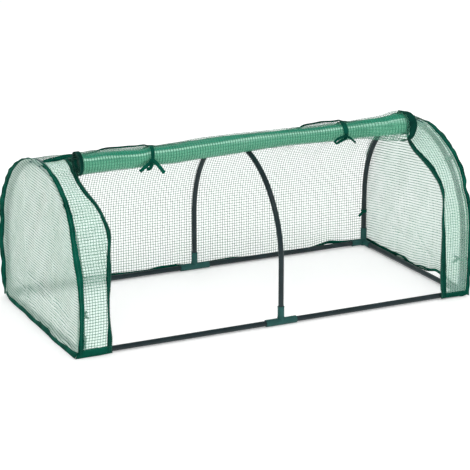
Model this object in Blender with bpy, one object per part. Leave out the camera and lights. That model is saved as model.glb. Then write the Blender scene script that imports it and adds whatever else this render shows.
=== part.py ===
"""Portable low tunnel greenhouse: a push-fit tube frame under a zipped, translucent cover.

The frame is a rectangle of tubes on the ground with three round hoops standing on it. Plastic
connectors hold the tubes: a corner at each end of the rails, a tee at the middle of the long
rails and a curved coupler at the crown of each hoop. The cover is film with a taped seam along
the ridge and round each end, and a front door that is rolled up and tied in front of the ridge.

Metres, +Z up. X runs along the tunnel, the door is at -Y, and the origin is on the ground under
the middle of the frame.
"""

import math

import bmesh
import bpy
from mathutils import Matrix, Vector

# Frame, between the centrelines of its tubes
FRAME_LENGTH = 1.180
FRAME_DEPTH = 0.570
ARCH_HEIGHT = 0.450

# Tubes
TUBE_DIAMETER = 0.015
TUBE_WALL = 0.0007
ROUND_SIDES = 12
ARC_STEP = math.radians(90 / 16)

# Push-fit connectors; lengths are from where the tubes' centrelines cross
SOCKET_GAP = 0.0003
SOCKET_WALL = 0.0016
RUN_WALL = 0.0022
RISER_EXTRA = 0.0004
INSERTION = 0.026
CORNER_ARM = 0.043
CORNER_RISE = 0.046
TEE_ARM = 0.047
TEE_RISE = 0.044
TEE_FILLET = 0.003
MOUTH_CHAMFER = 0.0008
FOOT_CHAMFER = 0.0015
COUPLER_REACH = math.radians(12)

# Cover film and the clear space between pieces that touch
GAP = 0.0003
FILM = 0.0008

# Tape that binds the cover's edges
TAPE = 0.0012
HEM_BOTTOM = 0.004
HEM_HEIGHT = 0.018
SEAM_LEG = 0.009
SEAM_FIN = 0.0075
SEAM_FIN_THICKNESS = 0.0022
RIDGE_FLANGE = 0.010
RIDGE_FIN = 0.010
RIDGE_FIN_THICKNESS = 0.0018

# Zips: the strip runs from the end hoop to the line where its tape meets the door's tape
STRIP_WIDTH = 0.078
ZIP_TAPE_WIDTH = 0.014
ZIP_TAPE = 0.0010
BEAD_RADIUS = 0.0011
ZIP_STEP = math.radians(1.5)

# Zip slider and its pull
SLIDER_ANGLE = math.radians(6.5)
SLIDER_LENGTH = 0.011
SLIDER_PLATE = 0.0011
SLIDER_COVER = 0.005
SLIDER_NECK = 0.0018
PIN_RADIUS = 0.0008
PIN_HEIGHT = 0.0021
LUG_WIDTH = 0.0012
LUG_LENGTH = 0.0036
PULL_WIDTH = 0.0042
PULL_LENGTH = 0.018
PULL_THICKNESS = 0.0014
EYE_WALL = 0.0009

# Rolled door
DOOR_THICKNESS = 0.0010
ROLL_ANGLE = math.radians(18)
ROLL_RADIUS = 0.028
ROLL_CORE = 0.009
ROLL_TURNS = 4.5
POINTS_PER_TURN = 15
DOOR_HEM_LENGTH = 0.014
DOOR_HEM_THICKNESS = 0.0022
DOOR_TAPE_WIDTH = 0.013
DOOR_TAPE_THICKNESS = 0.0016
HINGE_OFFSET = 0.001

# Ribbons that tie up the roll
TIE_SPREAD = 0.300
TIE_WIDTH = 0.009
TIE_THICKNESS = 0.0010
TIE_START = 0.005
KNOT_LENGTH = 0.015
KNOT_DEPTH = 0.009
KNOT_HEIGHT = 0.011
TAIL_DROP = 0.037
TAIL_SPREAD = 0.031
TAIL_STANDOFF = 0.0045
BOW_LENGTH = 0.036
BOW_HEIGHT = 0.010
KNOT_ANGLE_LEFT = math.radians(196)
KNOT_ANGLE_RIGHT = math.radians(226)

# Straps that hold the cover to the end hoops
STRAP_WIDTH = 0.009
STRAP_THICKNESS = 0.0010
LEG_STRAP_HEIGHT = 0.112
ARC_STRAP_ANGLE = math.radians(43)

# Sizes that follow from those above
TUBE_RADIUS = TUBE_DIAMETER / 2
BORE_RADIUS = TUBE_RADIUS + SOCKET_GAP
SOCKET_RADIUS = BORE_RADIUS + SOCKET_WALL
RISER_RADIUS = SOCKET_RADIUS + RISER_EXTRA
RUN_RADIUS = BORE_RADIUS + RUN_WALL
RAIL_HEIGHT = RUN_RADIUS
BEND_RADIUS = FRAME_DEPTH / 2
SPRING_HEIGHT = RAIL_HEIGHT + ARCH_HEIGHT - BEND_RADIUS
HALF_LENGTH = FRAME_LENGTH / 2
ZIP_LINE = HALF_LENGTH - STRIP_WIDTH
FILM_OFFSET = RUN_RADIUS + GAP
FILM_TOP = FILM_OFFSET + FILM
FILM_END = HALF_LENGTH + FILM_OFFSET
FILM_FOOT = HEM_BOTTOM + TAPE + GAP
SEAM_X = FILM_END + FILM + GAP
SEAM_R = FILM_TOP + GAP
SEAM_INNER_X = SEAM_X - SEAM_LEG - GAP
ZIP_TAPE_OUTER = ZIP_LINE + ZIP_TAPE_WIDTH
ZIP_LEVEL = FILM_OFFSET + BEAD_RADIUS
COVER_RADIUS = BEND_RADIUS + FILM_OFFSET
HINGE_Y = -(RIDGE_FLANGE / 2 + HINGE_OFFSET)
HINGE_ANGLE = math.asin(HINGE_Y / COVER_RADIUS)
HINGE_Z = SPRING_HEIGHT + (COVER_RADIUS + DOOR_THICKNESS / 2) * math.cos(HINGE_ANGLE)
STRIP_EDGE_ANGLE = -math.asin((RIDGE_FLANGE / 2) / COVER_RADIUS)
ROLL_DISTANCE = COVER_RADIUS + ROLL_RADIUS
ROLL_Y = -ROLL_DISTANCE * math.sin(ROLL_ANGLE)
ROLL_Z = SPRING_HEIGHT + ROLL_DISTANCE * math.cos(ROLL_ANGLE)
ROLL_PITCH = (ROLL_RADIUS - ROLL_CORE) / ROLL_TURNS
DOOR_EDGE = ZIP_LINE - GAP - DOOR_TAPE_WIDTH - GAP
QUARTER = math.pi / 2

COLOURS = {
    "tube": ((0.050, 0.075, 0.078), 0.45, 0.0),
    "connector": ((0.010, 0.095, 0.085), 0.50, 0.0),
    "film": ((0.62, 0.82, 0.72), 0.35, 0.0),
    "tape": ((0.005, 0.070, 0.050), 0.75, 0.0),
    "zip": ((0.006, 0.080, 0.060), 0.60, 0.0),
    "metal": ((0.55, 0.57, 0.58), 0.35, 1.0),
}


def make_material(name):
    colour, roughness, metallic = COLOURS[name]
    material = bpy.data.materials.new(name)
    material.use_nodes = True
    shader = material.node_tree.nodes["Principled BSDF"]
    shader.inputs["Base Color"].default_value = (*colour, 1.0)
    shader.inputs["Roughness"].default_value = roughness
    shader.inputs["Metallic"].default_value = metallic
    material.diffuse_color = (*colour, 1.0)
    return material


# Meshes

def add_object(name, bm, material):
    """Turns a closed shape into a named object, with its faces outwards and its round faces smooth."""
    bmesh.ops.recalc_face_normals(bm, faces=bm.faces)
    mesh = bpy.data.meshes.new(name)
    bm.to_mesh(mesh)
    bm.free()
    mesh.shade_smooth()
    mesh.set_sharp_from_angle(angle=math.radians(35))
    mesh.materials.append(material)
    obj = bpy.data.objects.new(name, mesh)
    bpy.context.scene.collection.objects.link(obj)
    return obj


def loft(name, rings, material, closed=False):
    """Joins rings of points; closed joins the last ring to the first, otherwise both ends are capped."""
    bm = bmesh.new()
    rows = [[bm.verts.new(point) for point in ring] for ring in rings]
    pairs = list(zip(rows, rows[1:]))
    if closed:
        pairs.append((rows[-1], rows[0]))
    for low, high in pairs:
        for i in range(len(low)):
            j = (i + 1) % len(low)
            bm.faces.new((low[i], low[j], high[j], high[i]))
    if not closed:
        bm.faces.new(rows[0])
        bm.faces.new(rows[-1])
    return add_object(name, bm, material)


def combine(target, tool, operation):
    """Joins, cuts or keeps with an exact Boolean, and removes the tool."""
    modifier = target.modifiers.new("combine", "BOOLEAN")
    modifier.operation = operation
    modifier.solver = "EXACT"
    modifier.object = tool
    bpy.context.view_layer.update()
    graph = bpy.context.evaluated_depsgraph_get()
    mesh = bpy.data.meshes.new_from_object(target.evaluated_get(graph))
    target.modifiers.clear()
    target.data = mesh
    mesh.name = target.name
    mesh.shade_smooth()
    mesh.set_sharp_from_angle(angle=math.radians(35))
    bpy.data.objects.remove(tool)
    return target


def set_origin(obj, point):
    """Moves the object's origin to a point and leaves its shape where it is."""
    obj.data.transform(Matrix.Translation(-Vector(point)))
    obj.location = point
    return obj


def ring(centre, across, up, radius, sides=ROUND_SIDES):
    """A circle of points with a flat side facing across and up."""
    centre, across, up = Vector(centre), Vector(across), Vector(up)
    points = []
    for k in range(sides):
        angle = math.tau * (k + 0.5) / sides
        points.append(centre + radius * (math.cos(angle) * across + math.sin(angle) * up))
    return points


def rod(name, start, end, across, up, radius, material, chamfer_start=0.0, chamfer_end=0.0):
    """A solid round bar between two points, with a chamfer where asked."""
    start, end = Vector(start), Vector(end)
    way = (end - start).normalized()
    rings = []
    if chamfer_start:
        rings.append(ring(start, across, up, radius - chamfer_start))
    rings.append(ring(start + way * chamfer_start, across, up, radius))
    rings.append(ring(end - way * chamfer_end, across, up, radius))
    if chamfer_end:
        rings.append(ring(end, across, up, radius - chamfer_end))
    return loft(name, rings, material)


def pipe(name, stations, outer, inner, material):
    """An open tube through stations of (centre, across, up), with its bore right through."""
    rings = [ring(*station, outer) for station in stations]
    rings += [ring(*station, inner) for station in reversed(stations)]
    return loft(name, rings, material, closed=True)


# The arch: a straight leg, a half circle and a straight leg, as seen along X

def arch_station(angle):
    """A point on the hoop's centreline and the way out, by the angle from the crown."""
    out_y, out_z = math.sin(angle), math.cos(angle)
    return (BEND_RADIUS * out_y, SPRING_HEIGHT + BEND_RADIUS * out_z, out_y, out_z)


def facet_station(angle):
    """The middle of the straight facet of the hoop that holds an angle."""
    middle = (math.floor(angle / ARC_STEP) + 0.5) * ARC_STEP
    y, z, out_y, out_z = arch_station(middle)
    inwards = BEND_RADIUS * (1 - math.cos(ARC_STEP / 2))
    return (y - out_y * inwards, z - out_z * inwards, out_y, out_z)


def arch(first, last, front_foot=None, back_foot=None, step=ARC_STEP):
    """Stations along the arch from one angle to another, with a leg down to each foot given."""
    stations = []
    if front_foot is not None:
        stations.append((-BEND_RADIUS, front_foot, -1.0, 0.0))
    angles = [first]
    steps = range(math.floor(first / step), math.ceil(last / step) + 1)
    angles += [k * step for k in steps if first + 1e-6 < k * step < last - 1e-6]
    angles.append(last)
    stations += [arch_station(angle) for angle in angles]
    if back_foot is not None:
        stations.append((BEND_RADIUS, back_foot, 1.0, 0.0))
    return stations


def sweep(name, profile, path, material):
    """Runs a profile of (x, distance outside the hoop's centreline) along the arch."""
    rings = []
    for y, z, out_y, out_z in path:
        rings.append([(x, y + out_y * r, z + out_z * r) for x, r in profile])
    return loft(name, rings, material)


def extrude_along(name, axis, outline, start, end, material):
    """Extrudes a flat outline along X, from (y, z) points, or along Y, from (x, z) points."""
    rings = []
    for place in (start, end):
        if axis == "X":
            rings.append([(place, a, b) for a, b in outline])
        else:
            rings.append([(a, place, b) for a, b in outline])
    return loft(name, rings, material)


def mirrored(profile, side):
    return [(side * x, r) for x, r in profile]


def ribbon(path, thickness):
    """The outline of a strip of even thickness along a line of flat points."""
    left, right = [], []
    for i, (a, b) in enumerate(path):
        a0, b0 = path[max(i - 1, 0)]
        a1, b1 = path[min(i + 1, len(path) - 1)]
        length = math.hypot(a1 - a0, b1 - b0)
        normal = (-(b1 - b0) / length, (a1 - a0) / length)
        left.append((a + normal[0] * thickness / 2, b + normal[1] * thickness / 2))
        right.append((a - normal[0] * thickness / 2, b - normal[1] * thickness / 2))
    return left + right[::-1]


def flat_strap(name, points, width_way, width, thickness, material):
    """A flat ribbon along points in space, its width kept near one direction."""
    points = [Vector(point) for point in points]
    rings = []
    for i, point in enumerate(points):
        way = (points[min(i + 1, len(points) - 1)] - points[max(i - 1, 0)]).normalized()
        side = Vector(width_way)
        side = (side - side.dot(way) * way).normalized()
        face = way.cross(side)
        side, face = side * width / 2, face * thickness / 2
        rings.append([point + side + face, point - side + face, point - side - face, point + side - face])
    return loft(name, rings, material)


# Connectors

X, Y, Z = Vector((1, 0, 0)), Vector((0, 1, 0)), Vector((0, 0, 1))


def socket_bore(mouth, way_in, across, up, material):
    """The cutter for a blind socket: from just outside its mouth to the seat of the tube's end."""
    seat = mouth + way_in * (INSERTION + GAP)
    return rod("bore", mouth - way_in * 0.002, seat, across, up, BORE_RADIUS, material)


def corner_connector(name, side_x, side_y, material):
    """A three-way corner: a riser for the hoop, and an arm for each rail, pointing inwards."""
    centre = Vector((side_x * HALF_LENGTH, side_y * BEND_RADIUS, RAIL_HEIGHT))
    foot = Vector((centre.x, centre.y, 0.0))
    top = centre + Z * CORNER_RISE
    body = rod(name, foot, top, X, Y, RISER_RADIUS, material, FOOT_CHAMFER, MOUTH_CHAMFER)
    for way, across in ((-side_x * X, Y), (-side_y * Y, X)):
        mouth = centre + way * CORNER_ARM
        arm = rod("arm", centre, mouth, across, Z, SOCKET_RADIUS, material, 0.0, MOUTH_CHAMFER)
        combine(body, arm, "UNION")
        combine(body, socket_bore(mouth, -way, across, Z, material), "DIFFERENCE")
    combine(body, socket_bore(top, -Z, X, Y, material), "DIFFERENCE")
    return body


def tee_connector(name, side_y, material):
    """A tee at the middle of a long rail: a run for two rails, and a riser with a fillet at its root."""
    centre = Vector((0.0, side_y * BEND_RADIUS, RAIL_HEIGHT))
    left, right, top = centre - X * TEE_ARM, centre + X * TEE_ARM, centre + Z * TEE_RISE
    body = rod(name, left, right, Y, Z, RUN_RADIUS, material, MOUTH_CHAMFER, MOUTH_CHAMFER)
    heights = (
        (0.0, SOCKET_RADIUS),
        (RUN_RADIUS - TEE_FILLET, SOCKET_RADIUS + TEE_FILLET * 0.4),
        (RUN_RADIUS + TEE_FILLET, SOCKET_RADIUS),
        (TEE_RISE - MOUTH_CHAMFER, SOCKET_RADIUS),
        (TEE_RISE, SOCKET_RADIUS - MOUTH_CHAMFER),
    )
    riser = loft("riser", [ring(centre + Z * height, X, Y, radius) for height, radius in heights], material)
    combine(body, riser, "UNION")
    combine(body, socket_bore(left, X, Y, Z, material), "DIFFERENCE")
    combine(body, socket_bore(right, -X, Y, Z, material), "DIFFERENCE")
    combine(body, socket_bore(top, -Z, X, Y, material), "DIFFERENCE")
    return body


def hoop_coupler(name, x, material):
    """A curved sleeve over the two ends that meet at a hoop's crown, chamfered at its mouths."""
    mouth = COUPLER_REACH - MOUTH_CHAMFER / BEND_RADIUS
    path = arch(-mouth, mouth)
    outer = [(arch_station(-COUPLER_REACH), RUN_RADIUS - MOUTH_CHAMFER)]
    outer += [(station, RUN_RADIUS) for station in path]
    outer.append((arch_station(COUPLER_REACH), RUN_RADIUS - MOUTH_CHAMFER))
    rings = [ring((x, y, z), X, (0, oy, oz), radius) for (y, z, oy, oz), radius in outer]
    rings += [ring((x, y, z), X, (0, oy, oz), BORE_RADIUS) for (y, z, oy, oz), _ in reversed(outer)]
    return loft(name, rings, material, closed=True)


# Tubes

def straight_tube(name, start, end, across, up, material):
    stations = [(start, across, up), (end, across, up)]
    return pipe(name, stations, TUBE_RADIUS, TUBE_RADIUS - TUBE_WALL, material)


def hoop_half(name, x, side, rise, material):
    """Half of a hoop: a straight leg seated in its socket, and a quarter bend up to the crown."""
    foot = RAIL_HEIGHT + rise - INSERTION
    end = (GAP / 2) / BEND_RADIUS
    if side < 0:
        path = arch(-QUARTER, -end, front_foot=foot)
    else:
        path = arch(end, QUARTER, back_foot=foot)
    stations = [((x, y, z), X, Vector((0, out_y, out_z))) for y, z, out_y, out_z in path]
    return pipe(name, stations, TUBE_RADIUS, TUBE_RADIUS - TUBE_WALL, material)


def make_frame(tube, plastic):
    for side_y, row in ((-1, "front"), (1, "back")):
        tee_connector(f"tee_connector_{row}", side_y, plastic)
        y = side_y * BEND_RADIUS
        for side_x, end in ((-1, "left"), (1, "right")):
            corner_connector(f"corner_connector_{row}_{end}", side_x, side_y, plastic)
            outer = side_x * (HALF_LENGTH - CORNER_ARM + INSERTION)
            inner = side_x * (TEE_ARM - INSERTION)
            start, stop = Vector((outer, y, RAIL_HEIGHT)), Vector((inner, y, RAIL_HEIGHT))
            straight_tube(f"{row}_rail_{end}", start, stop, Y, Z, tube)
    reach = BEND_RADIUS - CORNER_ARM + INSERTION
    for side_x, end in ((-1, "left"), (1, "right")):
        x = side_x * HALF_LENGTH
        start, stop = Vector((x, -reach, RAIL_HEIGHT)), Vector((x, reach, RAIL_HEIGHT))
        straight_tube(f"side_rail_{end}", start, stop, X, Z, tube)
    hoops = (
        (-HALF_LENGTH, "left", CORNER_RISE),
        (0.0, "middle", TEE_RISE),
        (HALF_LENGTH, "right", CORNER_RISE),
    )
    for x, place, rise in hoops:
        hoop_half(f"hoop_{place}_front_half", x, -1, rise, tube)
        hoop_half(f"hoop_{place}_back_half", x, 1, rise, tube)
        hoop_coupler(f"hoop_coupler_{place}", x, plastic)


# Cover

def make_panels(film):
    """The back panel from its hem to just over the ridge, the two front strips and the two end walls."""
    over = STRIP_EDGE_ANGLE + (2 * GAP) / COVER_RADIUS
    edge = FILM_END - GAP
    sheet = [(-edge, FILM_OFFSET), (-edge, FILM_TOP), (edge, FILM_TOP), (edge, FILM_OFFSET)]
    sweep("back_panel", sheet, arch(over, QUARTER, back_foot=FILM_FOOT), film)
    strip = [
        (ZIP_TAPE_OUTER + GAP, FILM_OFFSET),
        (ZIP_TAPE_OUTER + GAP, FILM_TOP),
        (edge, FILM_TOP),
        (edge, FILM_OFFSET),
    ]
    whole_arch = arch(-QUARTER, QUARTER, FILM_FOOT, FILM_FOOT)
    outline = [(y + oy * FILM_TOP, z + oz * FILM_TOP) for y, z, oy, oz in whole_arch]
    for side, end in ((-1, "left"), (1, "right")):
        path = arch(-QUARTER, STRIP_EDGE_ANGLE, front_foot=FILM_FOOT)
        sweep(f"front_strip_{end}", mirrored(strip, side), path, film)
        extrude_along(f"end_panel_{end}", "X", outline, side * FILM_END, side * (FILM_END + FILM), film)


def make_seams(tape):
    """The tape round each end: two legs that hug the corner and a fin that stands out between them."""
    half = SEAM_FIN_THICKNESS / 2 / math.sqrt(2)
    tip_x, tip_r = SEAM_X + TAPE / 2 + SEAM_FIN, SEAM_R + TAPE / 2 + SEAM_FIN
    root = SEAM_FIN_THICKNESS / math.sqrt(2)
    profile = [
        (SEAM_X - SEAM_LEG, SEAM_R),
        (SEAM_X - SEAM_LEG, SEAM_R + TAPE),
        (SEAM_X + TAPE - root, SEAM_R + TAPE),
        (tip_x - half, tip_r + half),
        (tip_x + half, tip_r - half),
        (SEAM_X + TAPE, SEAM_R + TAPE - root),
        (SEAM_X + TAPE, SEAM_R - SEAM_LEG),
        (SEAM_X, SEAM_R - SEAM_LEG),
        (SEAM_X, SEAM_R),
    ]
    path = arch(-QUARTER, QUARTER, HEM_BOTTOM, HEM_BOTTOM)
    for side, end in ((-1, "left"), (1, "right")):
        sweep(f"end_seam_tape_{end}", mirrored(profile, side), path, tape)
    crown = SPRING_HEIGHT + BEND_RADIUS + SEAM_R
    flange, fin = RIDGE_FLANGE / 2, RIDGE_FIN_THICKNESS / 2
    outline = [
        (-flange, crown),
        (-flange, crown + TAPE),
        (-fin, crown + TAPE),
        (-fin, crown + RIDGE_FIN),
        (fin, crown + RIDGE_FIN),
        (fin, crown + TAPE),
        (flange, crown + TAPE),
        (flange, crown),
    ]
    extrude_along("ridge_tape", "X", outline, -SEAM_INNER_X, SEAM_INNER_X, tape)


def hem_outline(inner, outwards):
    """A tape folded under the film's lower edge and up its outer face, as (distance, height)."""
    leaf = inner + FILM + GAP
    points = [
        (inner, HEM_BOTTOM),
        (leaf + TAPE, HEM_BOTTOM),
        (leaf + TAPE, HEM_BOTTOM + HEM_HEIGHT),
        (leaf, HEM_BOTTOM + HEM_HEIGHT),
        (leaf, HEM_BOTTOM + TAPE),
        (inner, HEM_BOTTOM + TAPE),
    ]
    return [(outwards * a, z) for a, z in points]


def make_hems(tape):
    wall = BEND_RADIUS + FILM_OFFSET
    extrude_along("hem_back", "X", hem_outline(wall, 1), -SEAM_INNER_X, SEAM_INNER_X, tape)
    reach = BEND_RADIUS + SEAM_R - SEAM_LEG - GAP
    for side, end in ((-1, "left"), (1, "right")):
        start, stop = side * (ZIP_TAPE_OUTER + GAP), side * SEAM_INNER_X
        extrude_along(f"hem_strip_{end}", "X", hem_outline(wall, -1), start, stop, tape)
        extrude_along(f"hem_end_{end}", "Y", hem_outline(FILM_END, side), -reach, reach, tape)


def make_zip_tapes(tape):
    """The strip's half of each zip: a flat tape with the zip's bead along its free edge."""
    flat_low, flat_high = ZIP_LEVEL - ZIP_TAPE / 2, ZIP_LEVEL + ZIP_TAPE / 2
    centre = ZIP_LINE + BEAD_RADIUS
    corner = BEAD_RADIUS * math.sin(math.pi / 4)
    profile = [
        (ZIP_TAPE_OUTER, flat_low),
        (ZIP_TAPE_OUTER, flat_high),
        (centre + BEAD_RADIUS, flat_high),
        (centre + corner, ZIP_LEVEL + corner),
        (centre, ZIP_LEVEL + BEAD_RADIUS),
        (centre - corner, ZIP_LEVEL + corner),
        (ZIP_LINE, ZIP_LEVEL),
        (centre - corner, ZIP_LEVEL - corner),
        (centre, ZIP_LEVEL - BEAD_RADIUS),
        (centre + corner, ZIP_LEVEL - corner),
        (centre + BEAD_RADIUS, flat_low),
    ]
    fine_from = -4 * ARC_STEP
    path = arch(-QUARTER, fine_from, front_foot=HEM_BOTTOM)
    path += arch(fine_from, STRIP_EDGE_ANGLE, step=ZIP_STEP)[1:]
    for side, end in ((-1, "left"), (1, "right")):
        sweep(f"zip_tape_{end}", mirrored(profile, side), path, tape)


# Zip sliders

def slider_frame(side):
    """Maps (x, along the zip towards the ridge, height over the arch) to space at the slider."""
    y, z, out_y, out_z = arch_station(-SLIDER_ANGLE)

    def place(x, along, height):
        return Vector((side * x, y + out_z * along + out_y * height, z - out_y * along + out_z * height))
    return place


def slider_loft(name, place, profile, start, end, material):
    rings = [[place(x, along, height) for x, height in profile] for along in (start, end)]
    return loft(name, rings, material)


def round_bar(name, place, x0, x1, along, height, radius, material):
    """A small bar across the zip, as a loft of two rings."""
    rings = []
    for x in (x0, x1):
        points = []
        for k in range(ROUND_SIDES):
            angle = math.tau * (k + 0.5) / ROUND_SIDES
            points.append(place(x, along + radius * math.cos(angle), height + radius * math.sin(angle)))
        rings.append(points)
    return loft(name, rings, material)


def make_sliders(metal):
    bead = ZIP_LINE + BEAD_RADIUS
    low, high = ZIP_LEVEL - BEAD_RADIUS - GAP, ZIP_LEVEL + BEAD_RADIUS + GAP
    inner, neck = ZIP_LINE - GAP, ZIP_LINE - GAP - SLIDER_NECK
    reach = bead + SLIDER_COVER
    shell = [
        (neck, low - SLIDER_PLATE),
        (reach, low - SLIDER_PLATE),
        (reach, low),
        (inner, low),
        (inner, high),
        (reach, high),
        (reach, high + SLIDER_PLATE),
        (neck, high + SLIDER_PLATE),
    ]
    top = high + SLIDER_PLATE
    middle = (neck + reach) / 2
    pin = top + PIN_HEIGHT
    half = PULL_WIDTH / 2
    lug_inner = half + GAP
    sink = SLIDER_PLATE / 2
    for side, end in ((-1, "left"), (1, "right")):
        place = slider_frame(side)
        name = f"zip_slider_{end}"
        body = slider_loft(name, place, shell, -SLIDER_LENGTH / 2, SLIDER_LENGTH / 2, metal)
        lug_top = pin + 2 * PIN_RADIUS
        for x0 in (middle - lug_inner - LUG_WIDTH, middle + lug_inner):
            x1 = x0 + LUG_WIDTH
            outline = [(x0, top - sink), (x1, top - sink), (x1, lug_top), (x0, lug_top)]
            lug = slider_loft("lug", place, outline, -LUG_LENGTH / 2, LUG_LENGTH / 2, metal)
            combine(body, lug, "UNION")
        x0, x1 = middle - lug_inner - LUG_WIDTH / 2, middle + lug_inner + LUG_WIDTH / 2
        combine(body, round_bar("pin", place, x0, x1, 0.0, pin, PIN_RADIUS, metal), "UNION")
        set_origin(body, (side * middle, 0.0, SPRING_HEIGHT))
        make_pull(f"zip_pull_{end}", place, side, middle, pin, ZIP_LEVEL + BEAD_RADIUS, metal)


def make_pull(name, place, side, middle, pin, rest, metal):
    """A flat tag on the slider's pin, lying towards the ridge with its tip on the zip's bead."""
    half = PULL_WIDTH / 2
    eye_radius = PIN_RADIUS + GAP + EYE_WALL
    drop = pin - PULL_THICKNESS / 2 - GAP - rest
    tilt = math.asin(min(drop / PULL_LENGTH, 0.9))
    body = round_bar(name, place, middle - half, middle + half, 0.0, pin, eye_radius, metal)
    root, tip = PIN_RADIUS + GAP + EYE_WALL / 2, PULL_LENGTH

    def tag_ring(distance, width):
        along, fall = distance * math.cos(tilt), distance * math.sin(tilt)
        lift, lean = PULL_THICKNESS / 2 * math.cos(tilt), PULL_THICKNESS / 2 * math.sin(tilt)
        points = []
        for x, up in ((-width, 1), (width, 1), (width, -1), (-width, -1)):
            points.append(place(middle + x, along + up * lean, pin - fall + up * lift))
        return points
    shoulder = tip * 0.85
    tag = loft("tag", [tag_ring(root, half), tag_ring(shoulder, half), tag_ring(tip, half * 0.6)], metal)
    combine(body, tag, "UNION")
    bore_half = half + GAP
    bore_low, bore_high = middle - bore_half, middle + bore_half
    bore = round_bar("bore", place, bore_low, bore_high, 0.0, pin, PIN_RADIUS + GAP, metal)
    combine(body, bore, "DIFFERENCE")
    return set_origin(body, place(middle, 0.0, pin))


# Rolled door

def roll_point(turn_angle, radius):
    """A point of the roll, by the angle wound since it left the hoops, as (y, z)."""
    start = -QUARTER + ROLL_ANGLE
    angle = start - turn_angle
    return (ROLL_Y + radius * math.cos(angle), ROLL_Z + radius * math.sin(angle))


def spiral(first, last):
    """The rolled sheet's middle line between two wound angles."""
    outer = ROLL_RADIUS - DOOR_THICKNESS / 2
    count = max(2, math.ceil((last - first) / math.tau * POINTS_PER_TURN))
    points = []
    for k in range(count + 1):
        angle = first + (last - first) * k / count
        points.append(roll_point(angle, outer - ROLL_PITCH * angle / math.tau))
    return points


def make_door(film, tape):
    """The front door: a short web from the ridge, then a loose roll with its hem at the core."""
    level = FILM_OFFSET + DOOR_THICKNESS / 2
    first = HINGE_ANGLE - GAP / COVER_RADIUS
    web = [(y + oy * level, z + oz * level) for y, z, oy, oz in arch(-ROLL_ANGLE, first)]
    web.reverse()
    end = ROLL_TURNS * math.tau
    hem_start = end - DOOR_HEM_LENGTH / ROLL_CORE
    panel_end = hem_start - GAP / ROLL_CORE
    pivot = (0.0, HINGE_Y, HINGE_Z)
    outline = ribbon(web[:-1] + spiral(0.0, panel_end), DOOR_THICKNESS)
    set_origin(extrude_along("door_panel", "X", outline, -DOOR_EDGE, DOOR_EDGE, film), pivot)
    outline = ribbon(spiral(hem_start, end), DOOR_HEM_THICKNESS)
    set_origin(extrude_along("door_hem", "X", outline, -DOOR_EDGE, DOOR_EDGE, tape), pivot)
    outline = ribbon(spiral(math.tau / POINTS_PER_TURN, end), DOOR_TAPE_THICKNESS)
    for side, place in ((-1, "left"), (1, "right")):
        start, stop = side * (DOOR_EDGE + GAP), side * (DOOR_EDGE + GAP + DOOR_TAPE_WIDTH)
        name = f"door_zip_tape_{place}"
        set_origin(extrude_along(name, "X", outline, start, stop, tape), pivot)


# Ties

def tie_loop():
    """A tie's line: from the ridge over the roll, round its front and back to the ridge under the web."""
    reach = ROLL_RADIUS + GAP + TIE_THICKNESS / 2
    level = FILM_OFFSET + DOOR_THICKNESS + GAP + TIE_THICKNESS / 2
    angle = HINGE_ANGLE - TIE_START / COVER_RADIUS
    y, z, out_y, out_z = arch_station(angle)
    start = Vector((y + out_y * level, z + out_z * level))
    centre = Vector((ROLL_Y, ROLL_Z))
    away = start - centre
    bearing = math.atan2(away.y, away.x)
    touch = bearing + math.acos(reach / away.length)
    stop = math.tau - QUARTER + ROLL_ANGLE
    points = [tuple(start)]
    count = 16
    for k in range(count + 1):
        turn = touch + (stop - touch) * k / count
        points.append((centre.x + reach * math.cos(turn), centre.y + reach * math.sin(turn)))
    under = FILM_OFFSET - GAP - TIE_THICKNESS / 2
    for y, z, out_y, out_z in arch(-ROLL_ANGLE, angle)[1:]:
        points.append((y + out_y * under, z + out_z * under))
    return points


def knot(name, centre, up_angle, material):
    """A small pinched knot, longer across the roll than along it."""
    bm = bmesh.new()
    bmesh.ops.create_uvsphere(bm, u_segments=8, v_segments=6, radius=1.0)
    turn = Matrix.Rotation(up_angle, 4, "X")
    size = Matrix.Diagonal((KNOT_LENGTH / 2, KNOT_DEPTH / 2, KNOT_HEIGHT / 2, 1.0))
    bm.transform(Matrix.Translation(centre) @ turn @ size)
    return add_object(name, bm, material)


def make_tie(name, x, knot_angle, tails, material):
    """A ribbon round the roll, with a knot in front and its free ends."""
    outline = ribbon(tie_loop(), TIE_THICKNESS)
    body = extrude_along(name, "X", outline, x - TIE_WIDTH / 2, x + TIE_WIDTH / 2, material)
    reach = ROLL_RADIUS + GAP + KNOT_DEPTH * 0.45
    centre = Vector((x, ROLL_Y + reach * math.cos(knot_angle), ROLL_Z + reach * math.sin(knot_angle)))
    combine(body, knot("knot", centre, knot_angle, material), "UNION")
    for points, width_way in tails:
        route = [centre + Vector(point) for point in points]
        tail = flat_strap("tail", route, width_way, TIE_WIDTH * 0.85, TIE_THICKNESS, material)
        combine(body, tail, "UNION")
    return set_origin(body, (x, HINGE_Y, HINGE_Z))


def hanging_end(side, share):
    """A free end that leaves the knot sideways, stands off the roll and drops, as offsets from the knot."""
    points = []
    for step in range(4):
        t = step / 3
        sideways = side * TAIL_SPREAD * share * t
        points.append((sideways, -TAIL_STANDOFF * math.sin(math.pi * 0.8 * t), -TAIL_DROP * share * t**1.6))
    return points


def bow_loop(side):
    """A flat loop that leaves the knot and comes back to it, sagging a little."""
    points = []
    steps = 8
    for step in range(steps):
        turn = math.tau * step / steps
        out = BOW_LENGTH / 2 * (1 - math.cos(turn))
        fall = BOW_HEIGHT / 2 * math.sin(turn) + out / 4
        points.append((side * out, -TAIL_STANDOFF * math.sin(turn / 2), -fall))
    return points


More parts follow.
